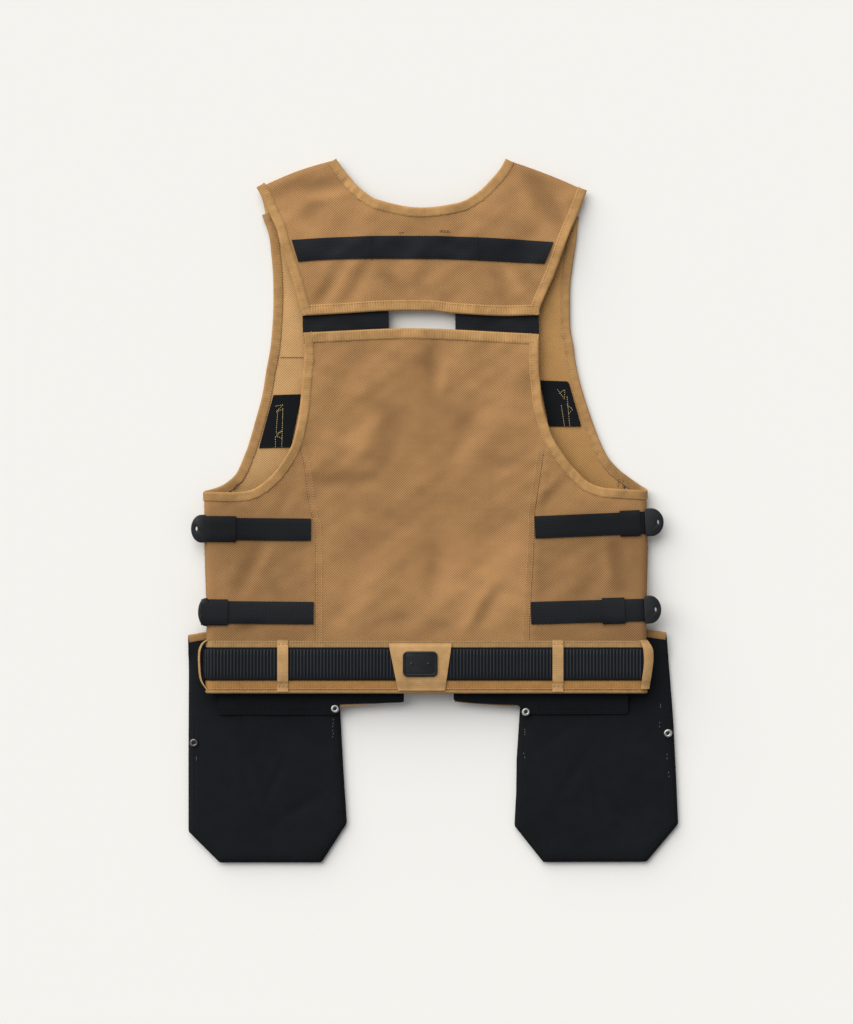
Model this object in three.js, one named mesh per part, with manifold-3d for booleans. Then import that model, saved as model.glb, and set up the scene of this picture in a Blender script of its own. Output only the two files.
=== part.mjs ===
// Utility work vest, lying front down with its back up. Millimetres, +Z up, +Y to the neck.
import * as THREE from 'three';
import { mergeVertices } from 'three/addons/utils/BufferGeometryUtils.js';
import Module from 'manifold-3d';

const wasm = await Module();
wasm.setup();

// Garment sizes
const half_chest = 287;
const back_length = 632;
const cloth = 2;
const hollow = 14;
const shoulder_lift = 2;
const armhole_curl = 3.4;
const side_turn_under = 24;
const strap_end_inset = 2;
const shoulder_fold = 2;
const clearance = 0.3;

// Tapes and bindings
const binding_width = 13;
const binding_cloth = 1.2;
const slot_tape_width = 14;
const hem_binding_width = 4.5;
const facing_above_hem = 22;
const facing_cloth = 1.2;
const patch_cloth = 1.2;
const inner_patch_width = 58;
const elastic_cloth = 1.3;
const elastic_tuck = 6;

// Webbing
const webbing_width = 29;
const webbing_cloth = 1.6;
const keeper_overhang = 2.3;
const keeper_cloth = 1.3;
const waistband_cloth = 1.2;
const waistband_above_belt = 8.5;
const belt_width = 43;
const belt_cloth = 2;
const belt_above_hem = 17;
const loop_width = 14;
const loop_cloth = 1.2;

// Hardware
const buckle_overhang = 3;
const buckle_thickness = 3;
const buckle_straight_share = 0.35;
const buckle_hole_radius = 2;
const buckle_hole_height = 7;
const buckle_hole_inset = 6.5;
const rivet_radius = 5.5;
const rivet_height = 2.4;
const rivet_rim = 0.8;
const rivet_dome_share = 0.65;
const badge_width = 44;
const badge_height = 32;
const badge_thickness = 1.6;
const badge_corner = 6;
const badge_rim = 2.2;
const badge_rim_height = 0.8;
const badge_pin_radius = 2.2;
const clasp_length = 50;
const clasp_overhang = 3;
const clasp_thickness = 9;
const clasp_corner = 5;

// Holsters
const holster_length = 298;
const holster_width = 210;
const holster_depth = 12;
const holster_wall = 2.2;
const holster_edge_radius = 2.5;
const holster_top_above_hem = 75;
const holster_binding_width = 10;
const holster_binding_cloth = 1.1;

const sides = {
  left: { name: 'left', sign: -1 },
  right: { name: 'right', sign: 1 },
};
const both = [sides.left, sides.right];

// Edges: up is a share of back_length above the hem, left and right are shares of half_chest
// out from the centre line. Every table runs from the top down.
const shoulder_points = [
  { up: 1.101, left: 0.395, right: 0.375 },
  { up: 1.076, left: 0.571, right: 0.575 },
  { up: 1.039, left: 0.755, right: 0.743 },
];
const neck_points = [
  { up: 1.062, left: 0.335, right: 0.343 },
  { up: 1.024, left: 0.238, right: 0.243 },
  { up: 1.006, left: 0.119, right: 0.112 },
];
const yoke_armhole_points = [
  { up: 1.039, left: 0.755, right: 0.743 },
  { up: 0.984, left: 0.692, right: 0.699 },
  { up: 0.885, left: 0.617, right: 0.613 },
  { up: 0.82, left: 0.572, right: 0.56 },
  { up: 0.777, left: 0.548, right: 0.527 },
];
const back_armhole_points = [
  { up: 0.741, left: 0.54, right: 0.524 },
  { up: 0.658, left: 0.545, right: 0.526 },
  { up: 0.597, left: 0.555, right: 0.541 },
  { up: 0.535, left: 0.579, right: 0.581 },
  { up: 0.479, left: 0.632, right: 0.654 },
  { up: 0.438, left: 0.71, right: 0.738 },
  { up: 0.419, left: 0.805, right: 0.86 },
  { up: 0.416, left: 0.99, right: 1.01 },
];
const front_armhole_points = [
  { up: 1.039, left: 0.755, right: 0.743 },
  { up: 0.986, left: 0.73, right: 0.712 },
  { up: 0.922, left: 0.692, right: 0.695 },
  { up: 0.815, left: 0.679, right: 0.667 },
  { up: 0.712, left: 0.692, right: 0.684 },
  { up: 0.613, left: 0.73, right: 0.731 },
  { up: 0.514, left: 0.79, right: 0.807 },
  { up: 0.455, left: 0.843, right: 0.9 },
  { up: 0.428, left: 0.915, right: 0.972 },
  { up: 0.416, left: 0.99, right: 1.01 },
];
const princess_seam_points = [
  { up: 0.54, left: 0.61, right: 0.61 },
  { up: 0.5, left: 0.559, right: 0.556 },
  { up: 0.397, left: 0.519, right: 0.514 },
  { up: 0.335, left: 0.489, right: 0.507 },
  { up: 0.13, left: 0.482, right: 0.485 },
  { up: -0.02, left: 0.482, right: 0.479 },
];
const side_fold_points = [
  { up: 1.2, left: 0.99, right: 1.01 },
  { up: 0.42, left: 0.99, right: 1.01 },
  { up: 0.3, left: 0.99, right: 1.018 },
  { up: 0.16, left: 0.977, right: 1.008 },
  { up: -0.1, left: 0.977, right: 1.008 },
];
const front_opening_points = [
  { up: 1.101, left: 0.395, right: 0.375 },
  { up: 0.95, left: 0.27, right: 0.26 },
  { up: 0.78, left: 0.172, right: 0.16 },
  { up: 0.4, left: 0.14, right: 0.152 },
  { up: 0, left: 0.086, right: 0.138 },
];

// Slot across the back and webbing across the yoke: how far the middle stands above the ends
const slot_bow = 0.01;
const yoke_webbing_level = 0.909;
const yoke_webbing_bow = 0.007;
const elastic_inner_end = { left: 0.158, right: 0.145 };

// Hem of the fronts and of the black facing inside them, below the back hem, and how far out
// the facing runs low over the holster
const front_drop = { left: { side: 0.031, centre: 0.021 }, right: { side: 0.027, centre: 0.019 } };
const facing_drop = {
  left: { side: 0.0453, middle: 0.0235, centre: 0.0195 },
  right: { side: 0.0435, middle: 0.0245, centre: 0.0165 },
};
const facing_step = { left: 0.38, right: 0.441 };
const facing_outer = { left: 0.93, right: 0.93 };

// Side straps: inner end, start and end of the keeper, how far past the side fold the buckle
// reaches in webbing widths, and the level of both strap ends
const straps = [
  { name: 'upper_left', side: 'left', inner: 0.508, keeper: 0.847, keeper_end: 0.975,
    reach: 0.58, up_inner: 0.336, up_outer: 0.338 },
  { name: 'lower_left', side: 'left', inner: 0.494, keeper: 0.882, keeper_end: 0.96,
    reach: 0.36, up_inner: 0.165, up_outer: 0.167 },
  { name: 'upper_right', side: 'right', inner: 0.506, keeper: 0.894, keeper_end: 0.985,
    reach: 0.72, up_inner: 0.341, up_outer: 0.351 },
  { name: 'lower_right', side: 'right', inner: 0.487, keeper: 0.809, keeper_end: 0.911,
    reach: 0.64, up_inner: 0.165, up_outer: 0.172 },
];

// Inner patches: top and bottom levels
const inner_patches = { left: { top: 0.614, bottom: 0.504 }, right: { top: 0.643, bottom: 0.549 } };

// Belt loops on the back, across as a share of half_chest
const back_loops = [
  { name: 'inner_left', across: -0.632 },
  { name: 'inner_right', across: 0.608 },
];
// Belt loops at the side folds, turn is the angle up from the fold's outermost line
const fold_loops = [
  { name: 'side_left', side: 'left', turn: 0 },
  { name: 'side_right', side: 'right', turn: 30 },
];

// Centre patch on the belt: half widths at its top and bottom, shares of half_chest
const centre_patch = { top: { left: 0.156, right: 0.13 }, bottom: { left: 0.113, right: 0.099 } };
const centre_patch_above_belt = 6;
const centre_patch_below_belt = 13;

// Holsters: down is a share of holster_length, outer and inner are shares of holster_width from
// the holster's own middle line
const holster_middle = { left: -0.706, right: 0.787 };
const holster_sections = [
  { down: 0, left: { outer: 0.488, inner: 0.44 }, right: { outer: 0.431, inner: 0.471 } },
  { down: 0.35, left: { outer: 0.489, inner: 0.452 }, right: { outer: 0.476, inner: 0.474 } },
  { down: 0.84, left: { outer: 0.489, inner: 0.493 }, right: { outer: 0.507, inner: 0.51 } },
  { down: 1, left: { outer: 0.297, inner: 0.336 }, right: { outer: 0.31, inner: 0.331 } },
];

// Rivets: the inner ones hold the facing, the outer ones the holster's edge
const rivets = [
  { name: 'rivet_inner_left', side: 'left', edge: 'inner', down: 0.32, inset: 0.032 },
  { name: 'rivet_outer_left', side: 'left', edge: 'outer', down: 0.47, inset: 0.033 },
  { name: 'rivet_inner_right', side: 'right', edge: 'inner', down: 0.334, inset: 0.035 },
  { name: 'rivet_outer_right', side: 'right', edge: 'outer', down: 0.428, inset: 0.039 },
];

// Folds of the back: place, half length and half width as shares of half_chest and
// back_length, turn in degrees from +X, height as a share of the hollow
const folds = [
  { across: -0.47, up: 1.045, run: 0.16, wide: 0.08, turn: 8, height: -0.22 },
  { across: 0.56, up: 1.0, run: 0.2, wide: 0.09, turn: 105, height: -0.24 },
  { across: -0.36, up: 0.845, run: 0.17, wide: 0.07, turn: 150, height: 0.14 },
  { across: 0.4, up: 0.83, run: 0.14, wide: 0.07, turn: 120, height: -0.14 },
  { across: 0.05, up: 0.66, run: 0.16, wide: 0.09, turn: 88, height: -0.24 },
  { across: -0.3, up: 0.46, run: 0.24, wide: 0.09, turn: 20, height: -0.22 },
  { across: 0.06, up: 0.23, run: 0.14, wide: 0.09, turn: 86, height: -0.2 },
  { across: -0.76, up: 0.25, run: 0.14, wide: 0.09, turn: 60, height: -0.24 },
  { across: 0.88, up: 0.27, run: 0.15, wide: 0.08, turn: 100, height: -0.24 },
  { across: 0.32, up: 0.19, run: 0.16, wide: 0.08, turn: 60, height: 0.18 },
];

// Lattice that every layer of cloth shares
const columns_each_side = 6;
const column_pitch = half_chest / (columns_each_side + 1);
const row_pitch = back_length / 16;
const waist_rows = 2;
const bottom_row = -1;
const top_row = 19;
const fold_angles = [90, 60, 30, 0, -30, -60, -90];
const loop_turn = 30;

// Layers, measured outwards from the middle of the panel cloth
const panel_face = cloth / 2;
const binding_inner = panel_face + clearance;
const binding_face = binding_inner + binding_cloth;
const strap_inner = panel_face + clearance;
const strap_face = strap_inner + webbing_cloth;
const waistband_inner = panel_face + clearance;
const waistband_face = waistband_inner + waistband_cloth;
const belt_inner = waistband_face + clearance;
const belt_face = belt_inner + belt_cloth;
const loop_inner = belt_face + clearance;
const loop_face = loop_inner + loop_cloth;
const facing_face = panel_face + clearance + facing_cloth;

// Where the heights change: up as a share of back_length, inside as a share of half_chest
const chest_up = 0.32;
const armhole_curl_up = { from: 0.33, to: 0.42 };
const armhole_curl_inside = { from: 0.05, to: 0.3 };
const shoulder_lift_up = { from: 0.85, to: 1.05 };
const shoulder_slope_down = 0.14;
const fold_fade_down = 0.1;
const fold_fade_inside = 0.2;

// Heights
const layer_pitch = hollow + cloth;
const shoulder_pitch = cloth + 2 * (binding_cloth + clearance) + clearance;
const front_waist_height = holster_depth + clearance + belt_face;
const front_hem_height = holster_depth + clearance + panel_face;
const sky = 4 * (holster_depth + layer_pitch);
const wide = 1.3 * half_chest;
const waist_top = waist_rows * row_pitch;
const belt_bottom = belt_above_hem;
const belt_top = belt_bottom + belt_width;
const waistband_bottom = hem_binding_width + clearance;
const waistband_top = belt_top + waistband_above_belt;

const { smoothstep, lerp, degToRad } = THREE.MathUtils;
const point = (x, y) => new THREE.Vector2(x, y);

// The stretch of an edge table at a height, by straight lines between its rows
function share_at(table, side, y) {
  const up = y / back_length;
  let lower = table.findIndex((row) => row.up <= up);
  if (lower < 0) lower = table.length - 1;
  const upper = Math.max(lower - 1, 0);
  const span = table[upper].up - table[lower].up;
  const part = span > 0 ? THREE.MathUtils.clamp((up - table[lower].up) / span, 0, 1) : 0;
  return lerp(table[lower][side.name], table[upper][side.name], part) * half_chest;
}

function shoulder_height(x) {
  const [neck, , tip] = shoulder_points;
  const side = x < 0 ? sides.left : sides.right;
  const part = (Math.abs(x) / half_chest - neck[side.name]) / (tip[side.name] - neck[side.name]);
  return lerp(neck.up, tip.up, part) * back_length;
}

function front_height(x, y) {
  const side = x < 0 ? sides.left : sides.right;
  const up = y / back_length;
  const inside = (share_at(front_armhole_points, side, y) - Math.abs(x)) / half_chest;
  const above_waist = smoothstep(y, waist_top, chest_up * back_length);
  const at_armhole = smoothstep(up, armhole_curl_up.from, armhole_curl_up.to);
  const flattened = smoothstep(inside, armhole_curl_inside.from, armhole_curl_inside.to);
  const curl = armhole_curl * at_armhole * (1 - flattened);
  const lift = shoulder_lift * smoothstep(up, shoulder_lift_up.from, shoulder_lift_up.to);
  const waist = lerp(front_waist_height, front_hem_height, smoothstep(-y, 0, row_pitch));
  return lerp(waist, panel_face, above_waist) + curl + lift;
}

function fold_height(x, y) {
  const above_waist = smoothstep(y, waist_top, waist_top + 2 * row_pitch);
  const total = folds.reduce((sum, fold) => {
    const angle = degToRad(fold.turn);
    const dx = x - fold.across * half_chest;
    const dy = y - fold.up * back_length;
    const along = (dx * Math.cos(angle) + dy * Math.sin(angle)) / (fold.run * back_length);
    const beside = (dy * Math.cos(angle) - dx * Math.sin(angle)) / (fold.wide * back_length);
    return sum + fold.height * Math.exp(-(along * along + beside * beside));
  }, 0);
  return total * hollow * above_waist;
}

function layers_apart(x, y) {
  const down = (shoulder_height(x) - y) / back_length;
  return lerp(shoulder_pitch, layer_pitch, smoothstep(down, 0, shoulder_slope_down));
}

function back_height(x, y) {
  const below_shoulder = shoulder_height(x) - y;
  const shaped = fold_height(x, y) * smoothstep(below_shoulder, 0, fold_fade_down * back_length);
  const inside = side_fold(x < 0 ? sides.left : sides.right, y) - Math.abs(x);
  const at_fold = smoothstep(inside, layer_pitch / 2, fold_fade_inside * half_chest);
  return front_height(x, y) + layers_apart(x, y) + shaped * at_fold;
}

function side_fold(side, y) {
  return share_at(side_fold_points, side, y);
}

// Stations along the section of the vest: each gives the place at a height and a distance
// outwards from the middle of the cloth
const on_back = (x) => (y, out) => [x, y, back_height(x, y) + out];
const on_front = (x) => (y, out) => [x, y, front_height(x, y) - out];
const on_fold = (side, degrees) => (y, out) => {
  const radius = layer_pitch / 2;
  const middle = side_fold(side, y) - radius;
  const below = front_height(side.sign * middle, y);
  const above = back_height(side.sign * middle, y);
  const half = (above - below) / 2;
  const angle = degToRad(degrees);
  const x = side.sign * (middle + (half + out) * Math.cos(angle));
  return [x, y, (above + below) / 2 + (half + out) * Math.sin(angle)];
};

const column = (index) => index * column_pitch;
const range = (first, last) => {
  const step = Math.sign(last - first);
  return Array.from({ length: Math.abs(last - first) + 1 }, (_, index) => first + step * index);
};
const rows = range(bottom_row, top_row).map((index) => index * row_pitch);
const back_stations = (first, last) => range(first, last).map((index) => on_back(column(index)));
const front_stations = (first, last) => range(first, last).map((index) => on_front(column(index)));
const right_turn = fold_angles.map((angle) => on_fold(sides.right, angle));
const left_turn = [...fold_angles].reverse().map((angle) => on_fold(sides.left, angle));

const whole_back = [
  on_fold(sides.left, 90),
  ...back_stations(-columns_each_side, columns_each_side),
  on_fold(sides.right, 90),
];
const whole_front = [
  on_fold(sides.right, -90),
  ...front_stations(columns_each_side, -columns_each_side),
  on_fold(sides.left, -90),
];
const wrap = {
  left: [
    ...front_stations(-1, -columns_each_side),
    ...left_turn,
    ...back_stations(-columns_each_side, -1),
  ],
  right: [
    ...back_stations(1, columns_each_side),
    ...right_turn,
    ...front_stations(columns_each_side, 1),
  ],
};

// A closed solid from a geometry with its shared vertices merged
function solid(geometry) {
  geometry.deleteAttribute('normal');
  geometry.deleteAttribute('uv');
  const merged = mergeVertices(geometry);
  return new wasm.Manifold(new wasm.Mesh({
    numProp: 3,
    vertProperties: new Float32Array(merged.attributes.position.array),
    triVerts: new Uint32Array(merged.index.array),
  }));
}

// A layer of cloth over the stations, between two distances outwards
function sheet(stations, low, high, heights = rows) {
  const at = (value, y) => (typeof value === 'function' ? value(y) : value);
  const positions = [];
  for (const level of [low, high]) {
    for (const station of stations) {
      for (const y of heights) positions.push(...station(y, at(level, y)));
    }
  }
  const count = heights.length;
  const layer = stations.length * count;
  const indices = [];
  const quad = (a, b, c, d) => indices.push(a, b, c, a, c, d);
  for (let i = 0; i < stations.length - 1; i += 1) {
    for (let j = 0; j < count - 1; j += 1) {
      const corner = i * count + j;
      const ring = [corner, corner + count, corner + count + 1, corner + 1];
      quad(...ring.map((index) => index + layer));
      quad(ring[0], ring[3], ring[2], ring[1]);
    }
    const next = (i + 1) * count;
    quad(i * count, next, next + layer, i * count + layer);
    const [end, next_end] = [next - 1, next + count - 1];
    quad(next_end, end, end + layer, next_end + layer);
  }
  const last = (stations.length - 1) * count;
  for (let j = 0; j < count - 1; j += 1) {
    quad(j + 1, j, j + layer, j + 1 + layer);
    quad(last + j, last + j + 1, last + j + 1 + layer, last + j + layer);
  }
  const geometry = new THREE.BufferGeometry();
  geometry.setAttribute('position', new THREE.Float32BufferAttribute(positions, 3));
  geometry.setIndex(indices);
  return solid(geometry);
}

// An upright block over a flat outline
function prism(outline, bottom = -sky, top = sky) {
  const geometry = new THREE.ExtrudeGeometry(new THREE.Shape(outline), {
    depth: top - bottom,
    bevelEnabled: false,
  });
  geometry.translate(0, 0, bottom);
  return solid(geometry);
}

// The outline moved outwards by a distance, or inwards by a negative one
function grown(outline, distance) {
  const ring = THREE.ShapeUtils.isClockWise(outline) ? [...outline].reverse() : outline;
  return ring.map((corner, index) => {
    const before = ring[(index + ring.length - 1) % ring.length];
    const after = ring[(index + 1) % ring.length];
    return mitred(before, corner, after, -distance);
  });
}

// A corner moved to the left of the path through it
function mitred(before, corner, after, distance) {
  const first = left_of(before, corner);
  const second = left_of(corner, after);
  const sum = first.clone().add(second);
  return corner.clone().addScaledVector(sum, distance / Math.max(0.5, 1 + first.dot(second)));
}

function left_of(from, to) {
  const along = to.clone().sub(from).normalize();
  return point(-along.y, along.x);
}

// An open line moved to its left
function moved(line, distance) {
  return line.map((corner, index) => {
    const before = index > 0 ? line[index - 1] : corner.clone().multiplyScalar(2).sub(line[1]);
    const beyond = corner.clone().multiplyScalar(2).sub(line[index - 1] ?? corner);
    return mitred(before, corner, line[index + 1] ?? beyond, distance);
  });
}

function lengthened(line, distance) {
  const ends = [[line[1], line[0]], [line.at(-2), line.at(-1)]].map(([from, to]) => (
    to.clone().addScaledVector(to.clone().sub(from).normalize(), distance)
  ));
  return [ends[0], ...line, ends[1]];
}

function strip(line, from, to) {
  return [...moved(line, from), ...moved(line, to).reverse()];
}

// Edge lines run so that the cloth lies to their left: down the left side, up the right side
const edge_points = (table, side) => {
  const points = table.map((row) => point(side.sign * row[side.name] * half_chest, row.up * back_length));
  return side === sides.left ? points : points.reverse();
};
const curve = (points, steps) => new THREE.SplineCurve(points).getPoints(steps);
const edge = (table, side) => curve(edge_points(table, side), Math.ceil(1.6 * table.length));
const pair = (make) => ({ left: make(sides.left), right: make(sides.right) });

// A line between two points, bowed upwards in the middle
function bowed(from, to, bow, steps = 6) {
  return Array.from({ length: steps + 1 }, (_, index) => {
    const part = index / steps;
    const middle = from.clone().lerp(to, part);
    return point(middle.x, middle.y + 4 * part * (1 - part) * bow * back_length);
  });
}

// One outline from several lines, without the points that they share
function outline(...lines) {
  const points = lines.flat();
  return points.filter((corner, index) => corner.distanceTo(points.at(index - 1)) > clearance);
}

const block = (low_x, high_x, low_y, high_y) => [
  point(low_x, low_y), point(high_x, low_y), point(high_x, high_y), point(low_x, high_y),
];

// Everything on the outer side of an edge line
const outside = (line, side, distance) => [
  ...moved(line, distance),
  point(side.sign * wide, line.at(-1).y),
  point(side.sign * wide, line[0].y),
];

const shoulder = pair((side) => edge(shoulder_points, side));
const yoke_armhole = pair((side) => edge(yoke_armhole_points, side));
const back_armhole = pair((side) => edge(back_armhole_points, side));
const front_armhole = pair((side) => edge(front_armhole_points, side));
const front_opening = pair((side) => edge(front_opening_points, side));
const princess_seam = pair((side) => edge(princess_seam_points, side));
const fold_line = pair((side) => edge(side_fold_points, side));
const neck_table = [shoulder_points[0], ...neck_points];
const neck = curve([
  ...edge_points(neck_table, sides.right).reverse(),
  point(0, back_length),
  ...edge_points(neck_table, sides.left).reverse(),
], 16);
const upper_slot = bowed(yoke_armhole.left.at(-1), yoke_armhole.right[0], slot_bow);
const lower_slot = bowed(back_armhole.right.at(-1), back_armhole.left[0], slot_bow);
const hem = [
  point(-side_fold(sides.left, 0) + layer_pitch / 2, 0),
  point(side_fold(sides.right, 0) - layer_pitch / 2, 0),
];

// Upright blocks above or below the surface midway between the two layers, both with the folds
const armhole_bottom = back_armhole_points.at(-1).up * back_length;
const midway = (x) => (y, out) => [
  x, y, out < 0 ? (front_height(x, y) + back_height(x, y)) / 2 : sky,
];
const midway_columns = [-wide, ...range(-columns_each_side, columns_each_side).map(column), wide];
const upper_half = sheet(midway_columns.map(midway), -1, 1);
const whole_plan = (low_x, high_x) => prism(block(low_x, high_x, -back_length, 2 * back_length));
const fold_blocks = both.map((side) => {
  const inner = side.sign * (side_fold(side, armhole_bottom) - layer_pitch);
  return whole_plan(Math.min(inner, side.sign * wide), Math.max(inner, side.sign * wide));
});
const with_folds = (body) => fold_blocks.reduce((joined, fold) => joined.add(fold), body);
const upper_part = with_folds(upper_half);
const lower_part = with_folds(whole_plan(-wide, wide).subtract(upper_half));
const above = (shape) => prism(shape).intersect(upper_part);
const below = (shape) => prism(shape).intersect(lower_part);

// Cutting tools along an edge: off is everything outside the edge cloth, over is the place
// that a tape of some width takes up
const edge_gap = binding_cloth + clearance;
const off = (line, depth = edge_gap) => strip(lengthened(line, binding_width), -binding_width, depth);
const over = (line, width) => off(line, width + clearance);

// Tape folded round an edge: a block of cloth with a groove that takes the panel
function bound(stations, line, width, inside = prism) {
  const long = lengthened(line, width);
  const whole = sheet(stations, -binding_face, binding_face).intersect(inside(strip(line, 0, width)));
  const core = sheet(stations, -binding_inner, binding_inner);
  return whole.subtract(core.intersect(inside(strip(long, binding_cloth, 2 * width))));
}

// Finishes and the vest itself
const finishes = {
  canvas: { color: 0xab8459, roughness: 0.92, metalness: 0 },
  tape: { color: 0xaa8454, roughness: 0.85, metalness: 0 },
  webbing: { color: 0x25262a, roughness: 0.8, metalness: 0 },
  belting: { color: 0x212428, roughness: 0.75, metalness: 0 },
  black_canvas: { color: 0x1c2023, roughness: 0.95, metalness: 0 },
  plastic: { color: 0x141517, roughness: 0.45, metalness: 0 },
  steel: { color: 0x9a9a98, roughness: 0.35, metalness: 1 },
};
const vest = new THREE.Group();

function add(name, finish, body) {
  const built = body.getMesh();
  const geometry = new THREE.BufferGeometry();
  geometry.setAttribute('position', new THREE.BufferAttribute(built.vertProperties, 3));
  geometry.setIndex(new THREE.BufferAttribute(built.triVerts, 1));
  geometry.computeVertexNormals();
  const mesh = new THREE.Mesh(geometry, new THREE.MeshStandardMaterial(finishes[finish]));
  mesh.name = name;
  vest.add(mesh);
}

// Yoke, folded over the shoulders
const yoke_outline = outline(
  yoke_armhole.left,
  upper_slot,
  yoke_armhole.right,
  shoulder.right,
  neck,
  shoulder.left,
);
const through = (x) => (y, out) => [
  x, y, out < 0 ? front_height(x, y) - panel_face : back_height(x, y) + panel_face,
];
const all_columns = range(-columns_each_side, columns_each_side).map(column);
const both_layers = sheet(all_columns.map(through), -1, 1);
const shoulder_cut = (body) => both.reduce(
  (left_over, side) => left_over.subtract(prism(over(shoulder[side.name], shoulder_fold))),
  body,
);
const trimmed = (body, lines) => lines.reduce(
  (left_over, line) => left_over.subtract(prism(off(line))),
  body,
);
const yoke_sheet = sheet(whole_back, -panel_face, panel_face).intersect(prism(yoke_outline));
const yoke = both.reduce(
  (body, side) => body.add(both_layers.intersect(prism(strip(shoulder[side.name], 0, shoulder_fold)))),
  yoke_sheet,
);
add('back_yoke', 'canvas', trimmed(yoke, [yoke_armhole.left, yoke_armhole.right, upper_slot, neck]));

// Lower back: centre panel between the two princess seams
const lower_back_outline = outline(
  back_armhole.left,
  [point(-wide, back_armhole.left.at(-1).y), point(-wide, edge_gap), point(wide, edge_gap)],
  [point(wide, back_armhole.right[0].y)],
  back_armhole.right,
  lower_slot,
);
const back_centre = both.reduce(
  (body, side) => body.subtract(prism(outside(princess_seam[side.name], side, clearance / 2))),
  sheet(whole_back, -panel_face, panel_face).intersect(prism(lower_back_outline)),
);
add('back_centre', 'canvas', trimmed(back_centre, [back_armhole.left, back_armhole.right, lower_slot]));

// Side panels, turned under at the side folds
for (const side of both) {
  const under = below(outside(fold_line[side.name], side, side_turn_under - clearance / 2))
    .intersect(prism(block(-wide, wide, edge_gap, armhole_bottom + binding_width)));
  const upper = above(lower_back_outline)
    .intersect(prism(outside(princess_seam[side.name], side, -clearance / 2)));
  const body = sheet(wrap[side.name], -panel_face, panel_face).intersect(upper.add(under))
    .subtract(above(off(back_armhole[side.name])))
    .subtract(below(off(front_armhole[side.name])));
  add(`back_side_${side.name}`, 'canvas', body);
}

// Fronts, open down the middle, with the black facing along their hems
function downward(line, side) {
  return side === sides.left ? line : [...line].reverse();
}
for (const side of both) {
  const drop = front_drop[side.name];
  const opening = downward(front_opening[side.name], side);
  const front_outline = outline(
    downward(front_armhole[side.name], side),
    [point(side.sign * wide, armhole_bottom), point(side.sign * wide, -drop.side * back_length)],
    [point(opening.at(-1).x, -drop.centre * back_length)],
    [...opening].reverse(),
    downward(shoulder[side.name], side),
  );
  const panel = sheet(whole_front, -panel_face, panel_face).intersect(prism(front_outline))
    .subtract(prism(outside(fold_line[side.name], side, side_turn_under + clearance / 2)))
    .subtract(prism(over(shoulder[side.name], shoulder_fold)));
  add(`front_${side.name}`, 'canvas', trimmed(panel, [front_armhole[side.name]]));

  const hang = facing_drop[side.name];
  const outer_x = side.sign * facing_outer[side.name] * half_chest;
  const step_x = side.sign * facing_step[side.name] * half_chest;
  const facing_outline = [
    point(outer_x, facing_above_hem),
    point(outer_x, -hang.side * back_length),
    point(step_x, -hang.side * back_length),
    point(step_x, -hang.middle * back_length),
    point(opening.at(-1).x, -hang.centre * back_length),
    point(opening.at(-1).x, facing_above_hem),
  ];
  const facing = sheet(whole_front, -facing_face, -panel_face - clearance).intersect(prism(facing_outline));
  add(`front_facing_${side.name}`, 'black_canvas', facing);

  const patch_rows = inner_patches[side.name];
  const patch = sheet(whole_front, -panel_face - clearance - patch_cloth, -panel_face - clearance)
    .intersect(prism(strip(front_armhole[side.name], binding_width + clearance, inner_patch_width)))
    .intersect(prism(block(-wide, wide, patch_rows.bottom * back_length, patch_rows.top * back_length)));
  add(`inner_patch_${side.name}`, 'black_canvas', patch);
}

// Bindings of the neck and armholes, and the tapes along the slot
add('neck_binding', 'tape', shoulder_cut(bound(whole_back, neck, binding_width)));
for (const side of both) {
  const yoke_binding = bound(whole_back, yoke_armhole[side.name], binding_width);
  const yoke_part = shoulder_cut(yoke_binding).subtract(prism(over(upper_slot, slot_tape_width)));
  add(`yoke_binding_${side.name}`, 'tape', yoke_part);

  const round_back = bound(wrap[side.name], back_armhole[side.name], binding_width, above);
  const round_front = bound(wrap[side.name], front_armhole[side.name], binding_width, below);
  const round_both = shoulder_cut(round_back.add(round_front));
  const armhole_part = round_both.subtract(prism(over(lower_slot, slot_tape_width)));
  add(`armhole_binding_${side.name}`, 'tape', armhole_part);
}
add('slot_tape_upper', 'tape', bound(whole_back, upper_slot, slot_tape_width));
add('slot_tape_lower', 'tape', bound(whole_back, lower_slot, slot_tape_width));
add('hem_binding', 'tape', bound(whole_back, hem, hem_binding_width));

// Black elastic behind the slot, with the hand gap between its two pieces
const elastic_band = outline(moved(upper_slot, elastic_tuck), moved(lower_slot, elastic_tuck));
for (const side of both) {
  const inner = side.sign * elastic_inner_end[side.name] * half_chest;
  const outer = downward(back_armhole[side.name], side)[0].x;
  const elastic_outline = block(Math.min(inner, outer), Math.max(inner, outer), 0, back_length);
  const elastic = sheet(whole_back, -binding_face - clearance - elastic_cloth, -binding_face - clearance)
    .intersect(prism(elastic_band))
    .intersect(prism(elastic_outline));
  add(`slot_elastic_${side.name}`, 'webbing', elastic);
}

// Webbing across the yoke
const yoke_webbing_line = bowed(
  point(-half_chest, yoke_webbing_level * back_length),
  point(half_chest, yoke_webbing_level * back_length),
  yoke_webbing_bow,
);
const yoke_webbing = sheet(whole_back, strap_inner, strap_face)
  .intersect(prism(strip(yoke_webbing_line, -webbing_width / 2, webbing_width / 2)))
  .intersect(prism(yoke_outline));
add('yoke_webbing', 'webbing', both.reduce(
  (body, side) => body.subtract(prism(over(yoke_armhole[side.name], binding_width))),
  yoke_webbing,
));

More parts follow.
